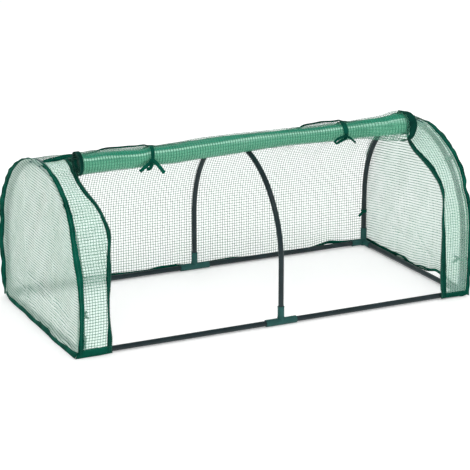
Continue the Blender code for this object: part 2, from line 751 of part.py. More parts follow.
def make_ties(tape):
    """The left tie ends in two free ends, and the right one in a bow loop and a shorter end."""
    left_ends = ((hanging_end(-1, 1.0), X - Z), (hanging_end(1, 1.0), X + Z))
    right_ends = ((bow_loop(-1), X / 3 + Y), (hanging_end(1, 0.7), X + Z))
    make_tie("tie_left", -TIE_SPREAD, KNOT_ANGLE_LEFT, left_ends, tape)
    make_tie("tie_right", TIE_SPREAD, KNOT_ANGLE_RIGHT, right_ends, tape)


# Straps on the end hoops

def make_strap(name, side_x, station, material):
    """A band round a hoop's tube with a tab that reaches into the cover's end seam."""
    y, z, out_y, out_z = station
    centre = Vector((side_x * HALF_LENGTH, y, z))
    outwards = Vector((0, out_y, out_z))
    along = Vector((0, out_z, -out_y)) * (STRAP_WIDTH / 2)
    inner = TUBE_RADIUS + GAP
    outer = inner + STRAP_THICKNESS
    stations = [(centre - along, X, outwards), (centre + along, X, outwards)]
    band = pipe(name, stations, outer, inner, material)
    way = (side_x * X + outwards).normalized()
    edge = (side_x * X - outwards).normalized() * (STRAP_THICKNESS / 2)
    tip = (FILM_OFFSET - GAP) * math.sqrt(2) - STRAP_THICKNESS / 2
    rings = []
    for distance in (outer - STRAP_THICKNESS / 2, tip):
        middle = centre + way * distance
        near, far = middle - along, middle + along
        rings.append([near + edge, far + edge, far - edge, near - edge])
    return combine(band, loft("tab", rings, material), "UNION")


def make_straps(tape):
    for side_x, end in ((-1, "left"), (1, "right")):
        for side_y, row in ((-1, "front"), (1, "back")):
            station = (side_y * BEND_RADIUS, LEG_STRAP_HEIGHT, float(side_y), 0.0)
            make_strap(f"leg_strap_{row}_{end}", side_x, station, tape)
        make_strap(f"arc_strap_front_{end}", side_x, facet_station(-ARC_STRAP_ANGLE), tape)


def main():
    for obj in list(bpy.data.objects):
        bpy.data.objects.remove(obj)
    materials = {name: make_material(name) for name in COLOURS}
    make_frame(materials["tube"], materials["connector"])
    make_panels(materials["film"])
    make_seams(materials["tape"])
    make_hems(materials["tape"])
    make_zip_tapes(materials["zip"])
    make_sliders(materials["metal"])
    make_door(materials["film"], materials["zip"])
    make_ties(materials["tape"])
    make_straps(materials["tape"])


main()
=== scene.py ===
"""The looks of a portable low tunnel greenhouse.

Three round hoops stand on a rectangle of plastic-coated tubes. A netted film cover lies over them,
bound with dark green tape, and its front door is rolled up and tied in front of the ridge.
"""
import math

import bmesh
import bpy
import numpy as np
from mathutils import Matrix, Vector


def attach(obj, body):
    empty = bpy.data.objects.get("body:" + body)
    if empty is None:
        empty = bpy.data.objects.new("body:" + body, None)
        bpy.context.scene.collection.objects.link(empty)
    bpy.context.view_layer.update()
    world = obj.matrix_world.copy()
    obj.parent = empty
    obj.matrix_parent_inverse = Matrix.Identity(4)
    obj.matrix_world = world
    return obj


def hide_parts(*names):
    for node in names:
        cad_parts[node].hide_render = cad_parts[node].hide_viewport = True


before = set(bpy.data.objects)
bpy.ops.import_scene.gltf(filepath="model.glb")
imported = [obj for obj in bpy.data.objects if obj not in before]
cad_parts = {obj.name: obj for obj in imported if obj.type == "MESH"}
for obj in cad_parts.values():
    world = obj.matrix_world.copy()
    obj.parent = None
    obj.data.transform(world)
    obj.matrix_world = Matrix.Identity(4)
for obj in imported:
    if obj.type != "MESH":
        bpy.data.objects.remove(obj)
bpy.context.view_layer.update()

# The tube frame, as the solids have it
HALF_LENGTH = 0.590
BEND_RADIUS = 0.285
TUBE_RADIUS = 0.0075
TUBE_BORE = 0.0068
RAIL_HEIGHT = 0.010
SPRING_HEIGHT = 0.175
QUARTER = math.pi / 2
CORNER_ARM = 0.043
CORNER_RISE = 0.046
TEE_ARM = 0.047
TEE_RISE = 0.044
INSERTION = 0.026
SOCKET_GAP = 0.0003
SOCKET_RADIUS = 0.0094
RISER_RADIUS = 0.0098
RUN_RADIUS = 0.0100
RIM_START = 0.0004
RIM_STOP = 0.0034
COUPLER_REACH = math.radians(12)

# The cover
FILM_LEVEL = 0.0107
FILM_RADIUS = BEND_RADIUS + FILM_LEVEL
FILM_QUARTER = FILM_RADIUS * QUARTER
FILM_END = 0.6007
FILM_FOOT = 0.007
FILM_THICKNESS = 0.00025
NET_PITCH = 0.0080
THREAD_FLATNESS = 0.72
BACK_THREADS = (0.0013, 0.0013)
LEFT_STRIP_THREADS = (0.0016, 0.0013)
RIGHT_STRIP_THREADS = (0.0009, 0.0015)
LEFT_END_THREADS = (0.0025, 0.0006)
RIGHT_END_THREADS = (0.0022, 0.0007)
DOOR_THREADS = (0.0009, 0.0015)
NET_TILT = {-1: math.radians(5.0), 1: math.radians(-6.5)}
OVER_RIDGE = 0.004
DOOR_HINGE = 0.0065
END_ZONE = 0.53
RIDGE_REACH = 0.045

# The rolled door
ROLL_RADIUS = 0.028
ROLL_CORE = 0.009
ROLL_TURNS = 4.1
ROLL_PITCH = (ROLL_RADIUS - ROLL_CORE) / (ROLL_TURNS - 1)
ROLL_LEAN = math.radians(18)
DOOR_LEFT = -0.5225
DOOR_RIGHT = 0.4695
DOOR_TAPE_WIDTHS = {-1: 0.0090, 1: 0.0145}
LEFT_TIE = -0.3115
RIGHT_TIE = 0.2885

# A tie's ribbon round the roll: where it starts and how far it goes, in degrees, and its points
TIE_FROM = 66
TIE_SWEEP = 220
TIE_POINTS = 60

ROOT = "frame_and_cover"
DOOR = "rolled_door"

# The two ends of the tunnel as (name, side), and its hoops as (name, place, rise of their socket)
ENDS = (("left", -1), ("right", 1))
HOOPS = (("left", -HALF_LENGTH, CORNER_RISE), ("middle", 0.0, TEE_RISE), ("right", HALF_LENGTH, CORNER_RISE))

# Sides of a round tube and of a moulded bar, then straps, tapes, stitches and zip teeth
SIDES = 32
ROD_SIDES = 48
STRAP_RADIUS = 0.0088
STRAP_BORE = 0.0077
TAPE_THICKNESS = 0.0019
RIBBON_THICKNESS = 0.0009
STITCH_LEVEL = 0.00105
STITCH_PITCH = 0.0036
TOOTH_PITCH = 0.0022


# Colour

def srgb(r, g, b):
    """A colour given as 8-bit screen values, in the linear values that shaders use."""
    def linear(v):
        v /= 255
        return v / 12.92 if v <= 0.04045 else ((v + 0.055) / 1.055) ** 2.4
    return (linear(r), linear(g), linear(b), 1.0)


# Node trees

class Wiring:
    """Short ways to add nodes to a tree and link them."""

    def __init__(self, tree):
        self.tree = tree

    def node(self, kind, *values, settings=None, **inputs):
        """A node with its inputs given in order or by name, each as a value or a socket to link."""
        made = self.tree.nodes.new(kind)
        for key, value in (settings or {}).items():
            setattr(made, key, value)
        for socket, value in zip(made.inputs, values):
            self.put(socket, value)
        for key, value in inputs.items():
            self.put(made.inputs[key.replace("_", " ")], value)
        return made

    def put(self, socket, value):
        if isinstance(value, bpy.types.NodeSocket):
            self.tree.links.new(value, socket)
        else:
            socket.default_value = value

    def math(self, operation, *values, clamp=False):
        settings = {"operation": operation, "use_clamp": clamp}
        return self.node("ShaderNodeMath", *values, settings=settings).outputs[0]

    def vector(self, operation, *values, **inputs):
        made = self.node("ShaderNodeVectorMath", *values, settings={"operation": operation}, **inputs)
        return made.outputs[0]

    def mix_colour(self, factor, a, b):
        made = self.node("ShaderNodeMix", settings={"data_type": "RGBA"}, Factor=factor)
        colours = [socket for socket in made.inputs if socket.type == "RGBA"]
        self.put(colours[0], a)
        self.put(colours[1], b)
        return next(socket for socket in made.outputs if socket.type == "RGBA")

    def noise(self, vector, scale, detail, roughness):
        made = self.node("ShaderNodeTexNoise", Vector=vector, Scale=scale, Detail=detail, Roughness=roughness)
        return made.outputs["Fac"]

    def map_range(self, value, low, high):
        settings = {"clamp": True}
        made = self.node("ShaderNodeMapRange", settings=settings, Value=value, From_Min=low, From_Max=high)
        return made.outputs["Result"]

    def ramp(self, factor, stops):
        """A colour ramp whose stops are (place, grey value or colour)."""
        made = self.node("ShaderNodeValToRGB", factor)
        elements = made.color_ramp.elements
        while len(elements) < len(stops):
            elements.new(0.5)
        for element, (position, value) in zip(elements, stops):
            element.position = position
            element.color = value if isinstance(value, tuple) else (value, value, value, 1.0)
        return made.outputs["Color"]


def new_group(name, kind, inputs, outputs):
    """A node group with sockets as {label: kind}: its wiring, what it is given and its results."""
    tree = bpy.data.node_groups.new(name, kind)
    for way, sockets in (("INPUT", inputs), ("OUTPUT", outputs)):
        for label, socket_kind in sockets.items():
            tree.interface.new_socket(label, in_out=way, socket_type=f"NodeSocket{socket_kind}")
    given, results = tree.nodes.new("NodeGroupInput"), tree.nodes.new("NodeGroupOutput")
    return Wiring(tree), given.outputs, results.inputs


def weave_group():
    """Plain weave from a tape's own UV in metres: a height, and a mask of the gaps between its yarns."""
    w, given, results = new_group(
        "tape_weave", "ShaderNodeTree",
        {"UV": "Vector", "Yarn": "Float"}, {"Height": "Float", "Gaps": "Float"},
    )
    place = w.node("ShaderNodeSeparateXYZ", given["UV"]).outputs
    rows, columns = (
        w.math("SINE", w.math("MULTIPLY", w.math("DIVIDE", place[axis], given["Yarn"]), math.tau))
        for axis in ("X", "Y")
    )
    height = w.math("MULTIPLY_ADD", w.math("MULTIPLY", rows, columns), 0.5, 0.5)
    w.put(results["Height"], height)
    w.put(results["Gaps"], w.math("SUBTRACT", 0.35, height, clamp=True))
    return w.tree


def blotch_group():
    """Soft blotches in object space, for handling marks and uneven colour."""
    w, given, results = new_group(
        "soft_blotches", "ShaderNodeTree", dict.fromkeys(("Scale", "Low", "High"), "Float"),
        dict.fromkeys(("Mask", "Fine"), "Float"),
    )
    place = w.node("ShaderNodeTexCoord").outputs["Object"]
    broad = w.noise(place, given["Scale"], 3.0, 0.55)
    w.put(results["Mask"], w.map_range(broad, given["Low"], given["High"]))
    w.put(results["Fine"], w.noise(place, w.math("MULTIPLY", given["Scale"], 22.0), 2.0, 0.6))
    return w.tree


# Materials

class Finish:
    """A material with its Principled shader and the wiring to feed it."""

    def __init__(self, name, **sockets):
        self.material = bpy.data.materials.new(name)
        self.material.use_nodes = True
        self.wiring = Wiring(self.material.node_tree)
        self.shader = self.material.node_tree.nodes["Principled BSDF"]
        for key, value in sockets.items():
            self.feed(key.replace("_", " "), value)

    def group(self, tree, **inputs):
        return self.wiring.node("ShaderNodeGroup", settings={"node_tree": tree}, **inputs).outputs

    def feed(self, socket, value):
        self.wiring.put(self.shader.inputs[socket], value)

    def bump(self, height, strength, distance):
        made = self.wiring.node("ShaderNodeBump", Strength=strength, Distance=distance, Height=height)
        self.feed("Normal", made.outputs["Normal"])

    def mottle(self, blotches, spots, dark, light, rough, bump=None):
        """Uneven colour and gloss: spots is (scale, low, high) and rough is (spread, least)."""
        marks = self.group(blotches, **dict(zip(("Scale", "Low", "High"), spots)))
        colour = self.wiring.mix_colour(marks["Mask"], srgb(*dark), srgb(*light))
        self.feed("Base Color", colour)
        self.feed("Roughness", self.wiring.math("MULTIPLY_ADD", marks["Fine"], *rough))
        if bump:
            self.bump(marks["Fine"], *bump)
        return marks, colour


def plain_finish(name, blotches, spots, dark, light, rough, bump=None, **sockets):
    """A coated, moulded, cast or spun piece: nearly one colour, with slight wear."""
    made = Finish(name, **sockets)
    made.mottle(blotches, spots, dark, light, rough, bump)
    return made.material


def film_finish(name, blotches, haze, tint, roughness, clear, green):
    """Milky film between the net's threads: what touches it shows through, what is far off blurs."""
    sheen = {"Sheen_Weight": green, "Sheen_Roughness": 0.9, "Sheen_Tint": srgb(50, 190, 135)}
    made = Finish(name, Transmission_Weight=clear, IOR=1.12, **sheen)
    light = [min(255, v + 12) for v in tint]
    marks, _ = made.mottle(blotches, (9.0, 0.35, 0.7), tint, light, (0.12, roughness), (0.12, 0.0004))
    made.feed("Alpha", made.wiring.math("MULTIPLY_ADD", marks["Mask"], haze * 0.2, haze))
    return made.material


def door_film_finish(blotches):
    """The rolled door's film: clear in its outer turn and green where the turns lie together, with a painted
    highlight line and a darker teal band round the roll, painted highlight streaks and painted shade deep
    inside it.
    """
    made = Finish("door_film", Specular_IOR_Level=0.3)
    w = made.wiring
    wound = w.node("ShaderNodeAttribute", settings={"attribute_name": "wound"}).outputs["Fac"]
    marks = made.group(blotches, Scale=16.0, Low=0.3, High=0.7)
    place = w.node("ShaderNodeTexCoord").outputs["Object"]
    stretched = w.node("ShaderNodeMapping", Vector=place, Scale=(3.0, 70.0, 70.0))
    streaks = w.noise(stretched.outputs["Vector"], 1.0, 3.0, 0.6)
    around = w.math("FRACT", w.math("ADD", wound, w.math("MULTIPLY_ADD", streaks, 0.10, -0.05)))
    # By angle round the roll: light is a painted highlight line, teal a darker band over the roll's top
    low, body, light, teal = srgb(104, 176, 143), srgb(106, 182, 149), srgb(178, 230, 208), srgb(16, 142, 110)
    bands = (
        (0.0, low), (0.36, body), (0.392, light), (0.415, light), (0.44, teal), (0.68, teal), (0.80, body),
    )
    layers_and_painted_light = w.ramp(around, bands)
    along = w.node("ShaderNodeSeparateXYZ", place).outputs["X"]
    threads = w.math("SINE", w.math("MULTIPLY", along, math.tau / NET_PITCH))
    depth = w.math("MULTIPLY", wound, 0.2)
    # Mixed in: lighter streaks as painted highlights along the roll, darker streaks, the rings of the threads
    # in the turns beneath, and painted shade on the inner turns deep inside the roll
    for mask, start, stop, colour in (
        (streaks, (0.54, 0.0), (0.76, 0.4), (150, 208, 182)),
        (streaks, (0.28, 0.35), (0.44, 0.0), (44, 126, 98)),
        (threads, (0.35, 0.0), (0.85, 0.32), (30, 112, 84)),
        (depth, (0.42, 0.0), (0.52, 0.9), (0, 26, 24)),
    ):
        layers_and_painted_light = w.mix_colour(w.ramp(mask, (start, stop)), layers_and_painted_light, srgb(*colour))
    closed = w.map_range(wound, 0.90, 1.05)
    made.feed("Base Color", w.mix_colour(closed, srgb(120, 200, 168), layers_and_painted_light))
    made.feed("Alpha", w.ramp(closed, ((0.0, 0.05), (1.0, 1.0))))
    made.feed("Roughness", w.math("MULTIPLY_ADD", marks["Fine"], 0.12, 0.22))
    made.bump(w.math("ADD", marks["Fine"], streaks), 0.15, 0.0006)
    return made.material


def tape_finish(name, weave, blotches, dark, light, yarn=0.0008):
    """Woven edge tape, with its weave read from the tape's own UV map."""
    sheen = {"Sheen_Weight": 0.06, "Sheen_Roughness": 0.5, "Sheen_Tint": srgb(70, 160, 135)}
    made = Finish(name, Specular_IOR_Level=0.04, **sheen)
    w = made.wiring
    _, colour = made.mottle(blotches, (26.0, 0.3, 0.7), dark, light, (0.2, 0.62))
    uv = w.node("ShaderNodeUVMap", settings={"uv_map": "tape"}).outputs["UV"]
    cloth = made.group(weave, UV=uv, Yarn=yarn)
    shade = w.math("MULTIPLY", cloth["Gaps"], 1.6, clamp=True)
    made.feed("Base Color", w.mix_colour(shade, colour, srgb(*(v * 0.45 for v in dark))))
    made.bump(cloth["Height"], 0.5, 0.0003)
    return made.material


def make_finishes():
    """Every material by the name that the rest of the script calls it."""
    weave, blotches = weave_group(), blotch_group()
    finishes = {"door_film": door_film_finish(blotches)}
    for key, name, *values, shine in (
        (
            "tube", "coated_tube", (24.0, 0.45, 0.75), (22, 38, 41), (30, 48, 52),
            (0.16, 0.26), (0.25, 0.0002), 0.3,
        ),
        (
            "connector", "moulded_teal", (40.0, 0.35, 0.75), (10, 72, 68), (18, 84, 79),
            (0.2, 0.42), (0.35, 0.0002), 0.4,
        ),
        ("thread", "net_thread", (14.0, 0.3, 0.7), (5, 92, 66), (16, 118, 88), (0.2, 0.45), 0.35),
        ("door_thread", "door_thread", (14.0, 0.3, 0.7), (18, 100, 74), (40, 128, 98), (0.2, 0.45), 0.35),
    ):
        finishes[key] = plain_finish(name, blotches, *values, Specular_IOR_Level=shine)
    for key, name, colour, least, metallic in (
        ("stitch", "stitching", (28, 112, 92), 0.6, 0.0),
        ("teeth", "zip_teeth", (6, 62, 50), 0.35, 0.0),
        ("slider", "slider_metal", (24, 84, 68), 0.3, 0.6),
    ):
        light = [v * 1.25 + 6 for v in colour]
        spots, rough, bump = (60.0, 0.3, 0.8), (0.15, least), (0.15, 0.0001)
        finishes[key] = plain_finish(name, blotches, spots, colour, light, rough, bump, Metallic=metallic)
    for key, name, *values in (
        ("film", "strip_film", 0.44, (228, 253, 241), 0.18, 0.70, 0.35),
        # The end walls' film is a milkier, whiter copy of the film: painted glare of film seen at a slant
        ("end_film", "end_film", 0.62, (246, 255, 250), 0.26, 0.74, 0.2),
        # The back panel's film is a clearer, whiter copy of the film: painted backlight
        ("back_film", "back_film", 0.30, (238, 250, 243), 0.15, 0.88, 0.0),
    ):
        finishes[key] = film_finish(name, blotches, *values)
    for key, name, *values in (
        # The door's tape is a darker copy of the zip tape: painted shade where it winds into the roll
        ("door_tape", "door_tape", (1, 40, 34), (6, 66, 54), 0.0006),
        ("tape", "edge_tape", (1, 54, 43), (9, 90, 72)),
        ("fold", "folded_edge", (40, 112, 88), (62, 138, 112)),
        ("zip", "zip_tape", (1, 50, 40), (6, 70, 56), 0.0006),
    ):
        finishes[key] = tape_finish(name, weave, blotches, *values)
    return finishes


# Meshes

def grid_mesh(name, points, uv):
    """A sheet of quads from an array of rows of points, with a UV map in metres."""
    rows, columns = points.shape[:2]
    index = np.arange(rows * columns).reshape(rows, columns)
    corners = (index[:-1, :-1], index[1:, :-1], index[1:, 1:], index[:-1, 1:])
    faces = np.stack(corners, axis=-1).reshape(-1, 4)
    mesh = bpy.data.meshes.new(name)
    mesh.from_pydata(points.reshape(-1, 3).tolist(), [], faces.tolist())
    layer = mesh.uv_layers.new(name="cloth")
    flat = uv.reshape(-1, 2)[faces.reshape(-1)]
    layer.data.foreach_set("uv", flat.astype(np.float32).reshape(-1))
    mesh.shade_smooth()
    return mesh


def loft_mesh(name, rings, closed=False, sharp=40):
    """A closed skin over rings of points; its UV runs (round the ring, along the rings) in metres."""
    rings = np.asarray(rings, float)
    count, sides = rings.shape[:2]
    steps = np.linalg.norm(np.roll(rings, -1, axis=1) - rings, axis=2)
    around = np.concatenate([np.zeros((count, 1)), np.cumsum(steps, axis=1)], axis=1)
    middle = rings.mean(axis=1)
    lengths = np.concatenate([[0.0], np.cumsum(np.linalg.norm(np.diff(middle, axis=0), axis=1))])
    faces, uvs = [], []
    for i in range(count if closed else count - 1):
        j = (i + 1) % count
        far = lengths[j] if j else lengths[-1] + np.linalg.norm(middle[0] - middle[-1])
        for k in range(sides):
            m = (k + 1) % sides
            faces.append((i * sides + k, i * sides + m, j * sides + m, j * sides + k))
            uvs += [(around[i, k], lengths[i]), (around[i, k + 1], lengths[i])]
            uvs += [(around[j, k + 1], far), (around[j, k], far)]
    if not closed:
        for ring_index, order in ((0, range(sides - 1, -1, -1)), (count - 1, range(sides))):
            faces.append(tuple(ring_index * sides + k for k in order))
            uvs += [(around[ring_index, k], lengths[ring_index]) for k in order]
    mesh = bpy.data.meshes.new(name)
    mesh.from_pydata(rings.reshape(-1, 3).tolist(), [], faces)
    layer = mesh.uv_layers.new(name="tape")
    layer.data.foreach_set("uv", np.asarray(uvs, np.float32).reshape(-1))
    face_outwards(mesh)
    smooth(mesh, sharp)
    return mesh


def face_outwards(mesh):
    bm = bmesh.new()
    bm.from_mesh(mesh)
    bmesh.ops.recalc_face_normals(bm, faces=bm.faces)
    bm.to_mesh(mesh)
    bm.free()


def smooth(mesh, sharp):
    """Smooth shading that stays crisp over edges sharper than an angle in degrees."""
    mesh.shade_smooth()
    mesh.set_sharp_from_angle(angle=math.radians(sharp))


def mesh_of(name, bm):
    """The mesh of some edit geometry, which is used up."""
    mesh = bpy.data.meshes.new(name)
    bm.to_mesh(mesh)
    bm.free()
    return mesh


def bare_object(name, mesh):
    obj = bpy.data.objects.new(name, mesh)
    bpy.context.scene.collection.objects.link(obj)
    return obj


def put_in_scene(name, mesh, material):
    mesh.materials.clear()
    mesh.materials.append(material)
    return bare_object(name, mesh)


def belongs(obj, body, slot, *nodes):
    """Hangs a piece on what it rides on and hides the solids that it stands for; slot is not used."""
    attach(obj, body)
    if nodes:
        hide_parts(*nodes)
    return obj


def settle(obj):
    """Turns an object and its modifiers into one plain mesh."""
    bpy.context.view_layer.update()
    graph = bpy.context.evaluated_depsgraph_get()
    mesh = bpy.data.meshes.new_from_object(obj.evaluated_get(graph))
    obj.modifiers.clear()
    obj.data = mesh
    mesh.name = obj.name
    return obj


def round_edges(obj, width, segments, angle):
    """Rounds the edges that are sharper than an angle in degrees."""
    bevel = obj.modifiers.new("rounding", "BEVEL")
    bevel.width = width
    bevel.segments = segments
    bevel.limit_method = "ANGLE"
    bevel.angle_limit = math.radians(angle)
    smooth(settle(obj).data, 50)


# The arch that the tubes and the cover follow

def arch(s, radius):
    """Places and outward ways along an arch: s is measured from the crown, negative to the front."""
    s = np.asarray(s, float)
    quarter = radius * QUARTER
    angle = np.clip(s, -quarter, quarter) / radius
    past = np.maximum(np.abs(s) - quarter, 0.0)
    out_y, out_z = np.sin(angle), np.cos(angle)
    out_z = np.where(past > 0, 0.0, out_z)
    return radius * out_y, SPRING_HEIGHT + radius * out_z - past, out_y, out_z


def xyz(x, y, z):
    """Points or ways from their three parts."""
    return np.stack(np.broadcast_arrays(x, y, z), axis=-1)


def unit(ways):
    """The same ways, each with a length of one."""
    return ways / np.linalg.norm(ways, axis=1)[:, None]


def arch_line(x, s, radius):
    """A line along an arch at one place of the tunnel: (points, outward ways)."""
    y, z, out_y, out_z = arch(s, radius)
    return xyz(x, y, z), xyz(0.0, out_y, out_z)


def waves(t, *parts):
    """A sum of sines, each given as (amplitude, length, shift)."""
    return sum(a * np.sin(math.tau * (t / length + shift)) for a, length, shift in parts)


def hump(t, middle, width):
    return np.exp(-((t - middle) / width) ** 2)


def ease(t):
    t = np.clip(t, 0.0, 1.0)
    return t * t * (3 - 2 * t)


def through(*pairs):
    """A smooth function through a few (place, value) pairs."""
    at, value = np.array(pairs, float).T
    rise = np.diff(value) / np.diff(at)
    before, after = rise[:-1], rise[1:]
    gentle = 2.5 * np.where(np.abs(before) < np.abs(after), before, after)
    even = (before + after) / 2
    inner = np.where(np.abs(even) < np.abs(gentle), even, gentle)
    slope = np.concatenate([[0.0], np.where(before * after > 0, inner, 0.0), [0.0]])

    def follow(t):
        t = np.clip(t, at[0], at[-1])
        i = np.clip(np.searchsorted(at, t, side="right") - 1, 0, len(at) - 2)
        span = at[i + 1] - at[i]
        u = (t - at[i]) / span
        begin = (1 + 2 * u) * (1 - u) ** 2 * value[i] + u * (1 - u) ** 2 * span * slope[i]
        return begin + u * u * (3 - 2 * u) * value[i + 1] + u * u * (u - 1) * span * slope[i + 1]

    return follow


FOOT_S = FILM_QUARTER + SPRING_HEIGHT - FILM_FOOT

# How the cover hangs: distances from the tunnel's middle along the arch, from the front foot over
# the crown to the back foot
LEFT_SEAM = through(
    (-0.63, 0.6055), (-0.56, 0.600), (-0.50, 0.599), (-0.45, 0.6015), (-0.40, 0.6055), (-0.37, 0.607),
    (-0.32, 0.6045), (-0.26, 0.600), (-0.20, 0.597), (-0.10, 0.597), (0.0, 0.5965), (0.10, 0.597),
    (0.22, 0.6005), (0.36, 0.601), (0.42, 0.597), (0.48, 0.601), (0.54, 0.5965), (0.60, 0.5975),
    (0.63, 0.600),
)
RIGHT_SEAM = through(
    (-0.63, 0.5995), (-0.56, 0.6005), (-0.47, 0.6015), (-0.41, 0.603), (-0.375, 0.604), (-0.32, 0.602),
    (-0.29, 0.6055), (-0.25, 0.607), (-0.21, 0.6050), (-0.15, 0.601), (-0.09, 0.600), (-0.05, 0.602),
    (0.0, 0.601), (0.15, 0.599), (0.25, 0.601), (0.35, 0.600), (0.45, 0.602), (0.55, 0.599),
    (0.63, 0.601),
)
LEFT_ZIP_TEETH = through(
    (-0.64, 0.510), (-0.60, 0.508), (-0.55, 0.513), (-0.50, 0.514), (-0.46, 0.512), (-0.41, 0.506),
    (-0.36, 0.502), (-0.31, 0.491), (-0.27, 0.497), (-0.23, 0.5055), (-0.19, 0.518), (-0.14, 0.5275),
    (-0.10, 0.524), (-0.06, 0.513), (0.0, 0.512),
)
LEFT_ZIP_EDGE = through(
    (-0.64, 0.525), (-0.60, 0.5235), (-0.55, 0.520), (-0.50, 0.5215), (-0.44, 0.523), (-0.38, 0.516),
    (-0.315, 0.5045), (-0.27, 0.508), (-0.23, 0.5165), (-0.19, 0.532), (-0.14, 0.540), (-0.09, 0.536),
    (-0.05, 0.528), (0.0, 0.524),
)
RIGHT_ZIP_TEETH = through(
    (-0.64, 0.517), (-0.60, 0.512), (-0.55, 0.509), (-0.46, 0.509), (-0.40, 0.513), (-0.34, 0.5225),
    (-0.31, 0.523), (-0.27, 0.5155), (-0.23, 0.5015), (-0.19, 0.488), (-0.16, 0.4847), (-0.13, 0.491),
    (-0.09, 0.5065), (-0.073, 0.512), (0.0, 0.512),
)
RIGHT_ZIP_EDGE = through(
    (-0.64, 0.534), (-0.58, 0.531), (-0.52, 0.528), (-0.46, 0.524), (-0.40, 0.523), (-0.35, 0.529),
    (-0.315, 0.5375), (-0.27, 0.5325), (-0.23, 0.5245), (-0.19, 0.508), (-0.155, 0.500), (-0.12, 0.503),
    (-0.09, 0.5185), (-0.073, 0.524), (0.0, 0.524),
)

# Which way the end seams' tapes lie, in degrees: 0 points past the end wall, 90 straight out from
# the arch and 180 flat over the roof
LEFT_LEAN = through(
    (-0.66, 180), (-0.615, 178), (-0.585, 134), (-0.56, 117), (-0.53, 121), (-0.48, 115), (-0.45, 128),
    (-0.40, 170), (-0.34, 178), (-0.29, 171), (-0.25, 153), (-0.215, 142), (-0.165, 172), (-0.13, 140),
    (-0.08, 133), (0.0, 150), (0.07, 164), (0.11, 155), (0.15, 100), (0.19, 47), (0.26, 47), (0.33, 36),
    (0.40, 26), (0.44, 16), (0.475, 37), (0.53, 31), (0.56, 9), (0.60, 60), (0.66, 70),
)
RIGHT_LEAN = through(
    (-0.66, 75), (-0.61, 73), (-0.56, 48), (-0.52, 37), (-0.47, 58), (-0.42, 61), (-0.38, 54),
    (-0.335, 63), (-0.32, 70), (-0.295, 43), (-0.27, 50), (-0.22, 69), (-0.20, 42), (-0.185, 8),
    (-0.14, 4), (-0.09, 6), (-0.065, 14), (-0.03, 0), (0.0, 20), (0.06, 65), (0.12, 110), (0.25, 80),
    (0.33, 110), (0.42, 60), (0.50, 95), (0.57, 50), (0.63, 80),
)

# Heights above the ground of the hems, and how far the left wall's foot stands out
BACK_HEM_TOP = through(
    (-0.60, 0.0215), (-0.27, 0.020), (-0.23, 0.0185), (-0.15, 0.018), (-0.11, 0.0232), (-0.07, 0.0215),
    (-0.03, 0.0173), (0.05, 0.0155), (0.13, 0.019), (0.17, 0.015), (0.26, 0.0125), (0.36, 0.0115),
    (0.40, 0.0125), (0.44, 0.020), (0.47, 0.0277), (0.50, 0.023), (0.53, 0.0195), (0.60, 0.0175),
)
BACK_HEM_FOOT = through(
    (-0.60, 0.002), (0.39, 0.001), (0.43, 0.008), (0.46, 0.0175), (0.48, 0.0165), (0.51, 0.008),
    (0.54, 0.003), (0.60, 0.002),
)
LEFT_HEM_TOP = through(
    (-0.30, 0.0165), (-0.22, 0.0135), (-0.12, 0.0115), (-0.07, 0.0165), (-0.02, 0.0160), (0.03, 0.0115),
    (0.15, 0.0135), (0.25, 0.0115), (0.30, 0.0135),
)
LEFT_HEM_OUT = through(
    (-0.296, 0.617), (-0.20, 0.617), (-0.15, 0.618), (-0.08, 0.6145), (0.0, 0.6125), (0.06, 0.612),
    (0.12, 0.608), (0.17, 0.6085), (0.25, 0.6055), (0.296, 0.598),
)
RIGHT_HEM_TOP = through(
    (-0.30, 0.020), (-0.20, 0.024), (-0.152, 0.032), (-0.126, 0.0345), (-0.10, 0.028), (-0.07, 0.0235),
    (-0.04, 0.0225), (-0.013, 0.016), (0.027, 0.018), (0.05, 0.0255), (0.08, 0.024), (0.15, 0.021),
    (0.30, 0.022),
)
RIGHT_HEM_FOOT = through(
    (-0.30, 0.002), (-0.20, 0.008), (-0.152, 0.023), (-0.126, 0.0255), (-0.10, 0.019), (-0.07, 0.0125),
    (-0.04, 0.0105), (-0.013, 0.003), (0.027, 0.004), (0.05, 0.0105), (0.08, 0.0075), (0.15, 0.003),
    (0.30, 0.002),
)

# How far the ridge is pulled up or sags along the tunnel
RIDGE = through(
    (-0.60, -0.008), (-0.52, -0.004), (-0.46, 0.0), (-0.43, 0.009), (-0.405, 0.0148), (-0.36, 0.015),
    (-0.31, 0.0146), (-0.286, 0.0135), (-0.27, 0.006), (-0.252, -0.001), (-0.21, -0.004), (-0.10, -0.005),
    (0.17, -0.005), (0.195, 0.004), (0.217, 0.0175), (0.24, 0.0205), (0.30, 0.0212), (0.33, 0.0212),
    (0.347, 0.013), (0.37, 0.003), (0.45, 0.0), (0.50, 0.002), (0.55, 0.006), (0.60, -0.005),
)

# Which way the ridge tape stands, in degrees: 0 lies back, 90 stands up, 180 lies over the front
RIDGE_LEAN = through(
    (-0.60, 12), (-0.585, 12), (-0.525, 92), (-0.48, 105), (-0.43, 158), (-0.28, 160), (-0.25, 100),
    (0.10, 88), (0.19, 110), (0.215, 158), (0.335, 158), (0.37, 96), (0.60, 88),
)

# The curves above by side, and the hems' by wall
SEAM = {-1: LEFT_SEAM, 1: RIGHT_SEAM}
SEAM_LEAN = {-1: LEFT_LEAN, 1: RIGHT_LEAN}
ZIP_TEETH = {-1: LEFT_ZIP_TEETH, 1: RIGHT_ZIP_TEETH}
ZIP_EDGE = {-1: LEFT_ZIP_EDGE, 1: RIGHT_ZIP_EDGE}
HEM_TOP = {"back": BACK_HEM_TOP, "left": LEFT_HEM_TOP, "right": RIGHT_HEM_TOP}
HEM_FOOT = {"back": BACK_HEM_FOOT, "right": RIGHT_HEM_FOOT}

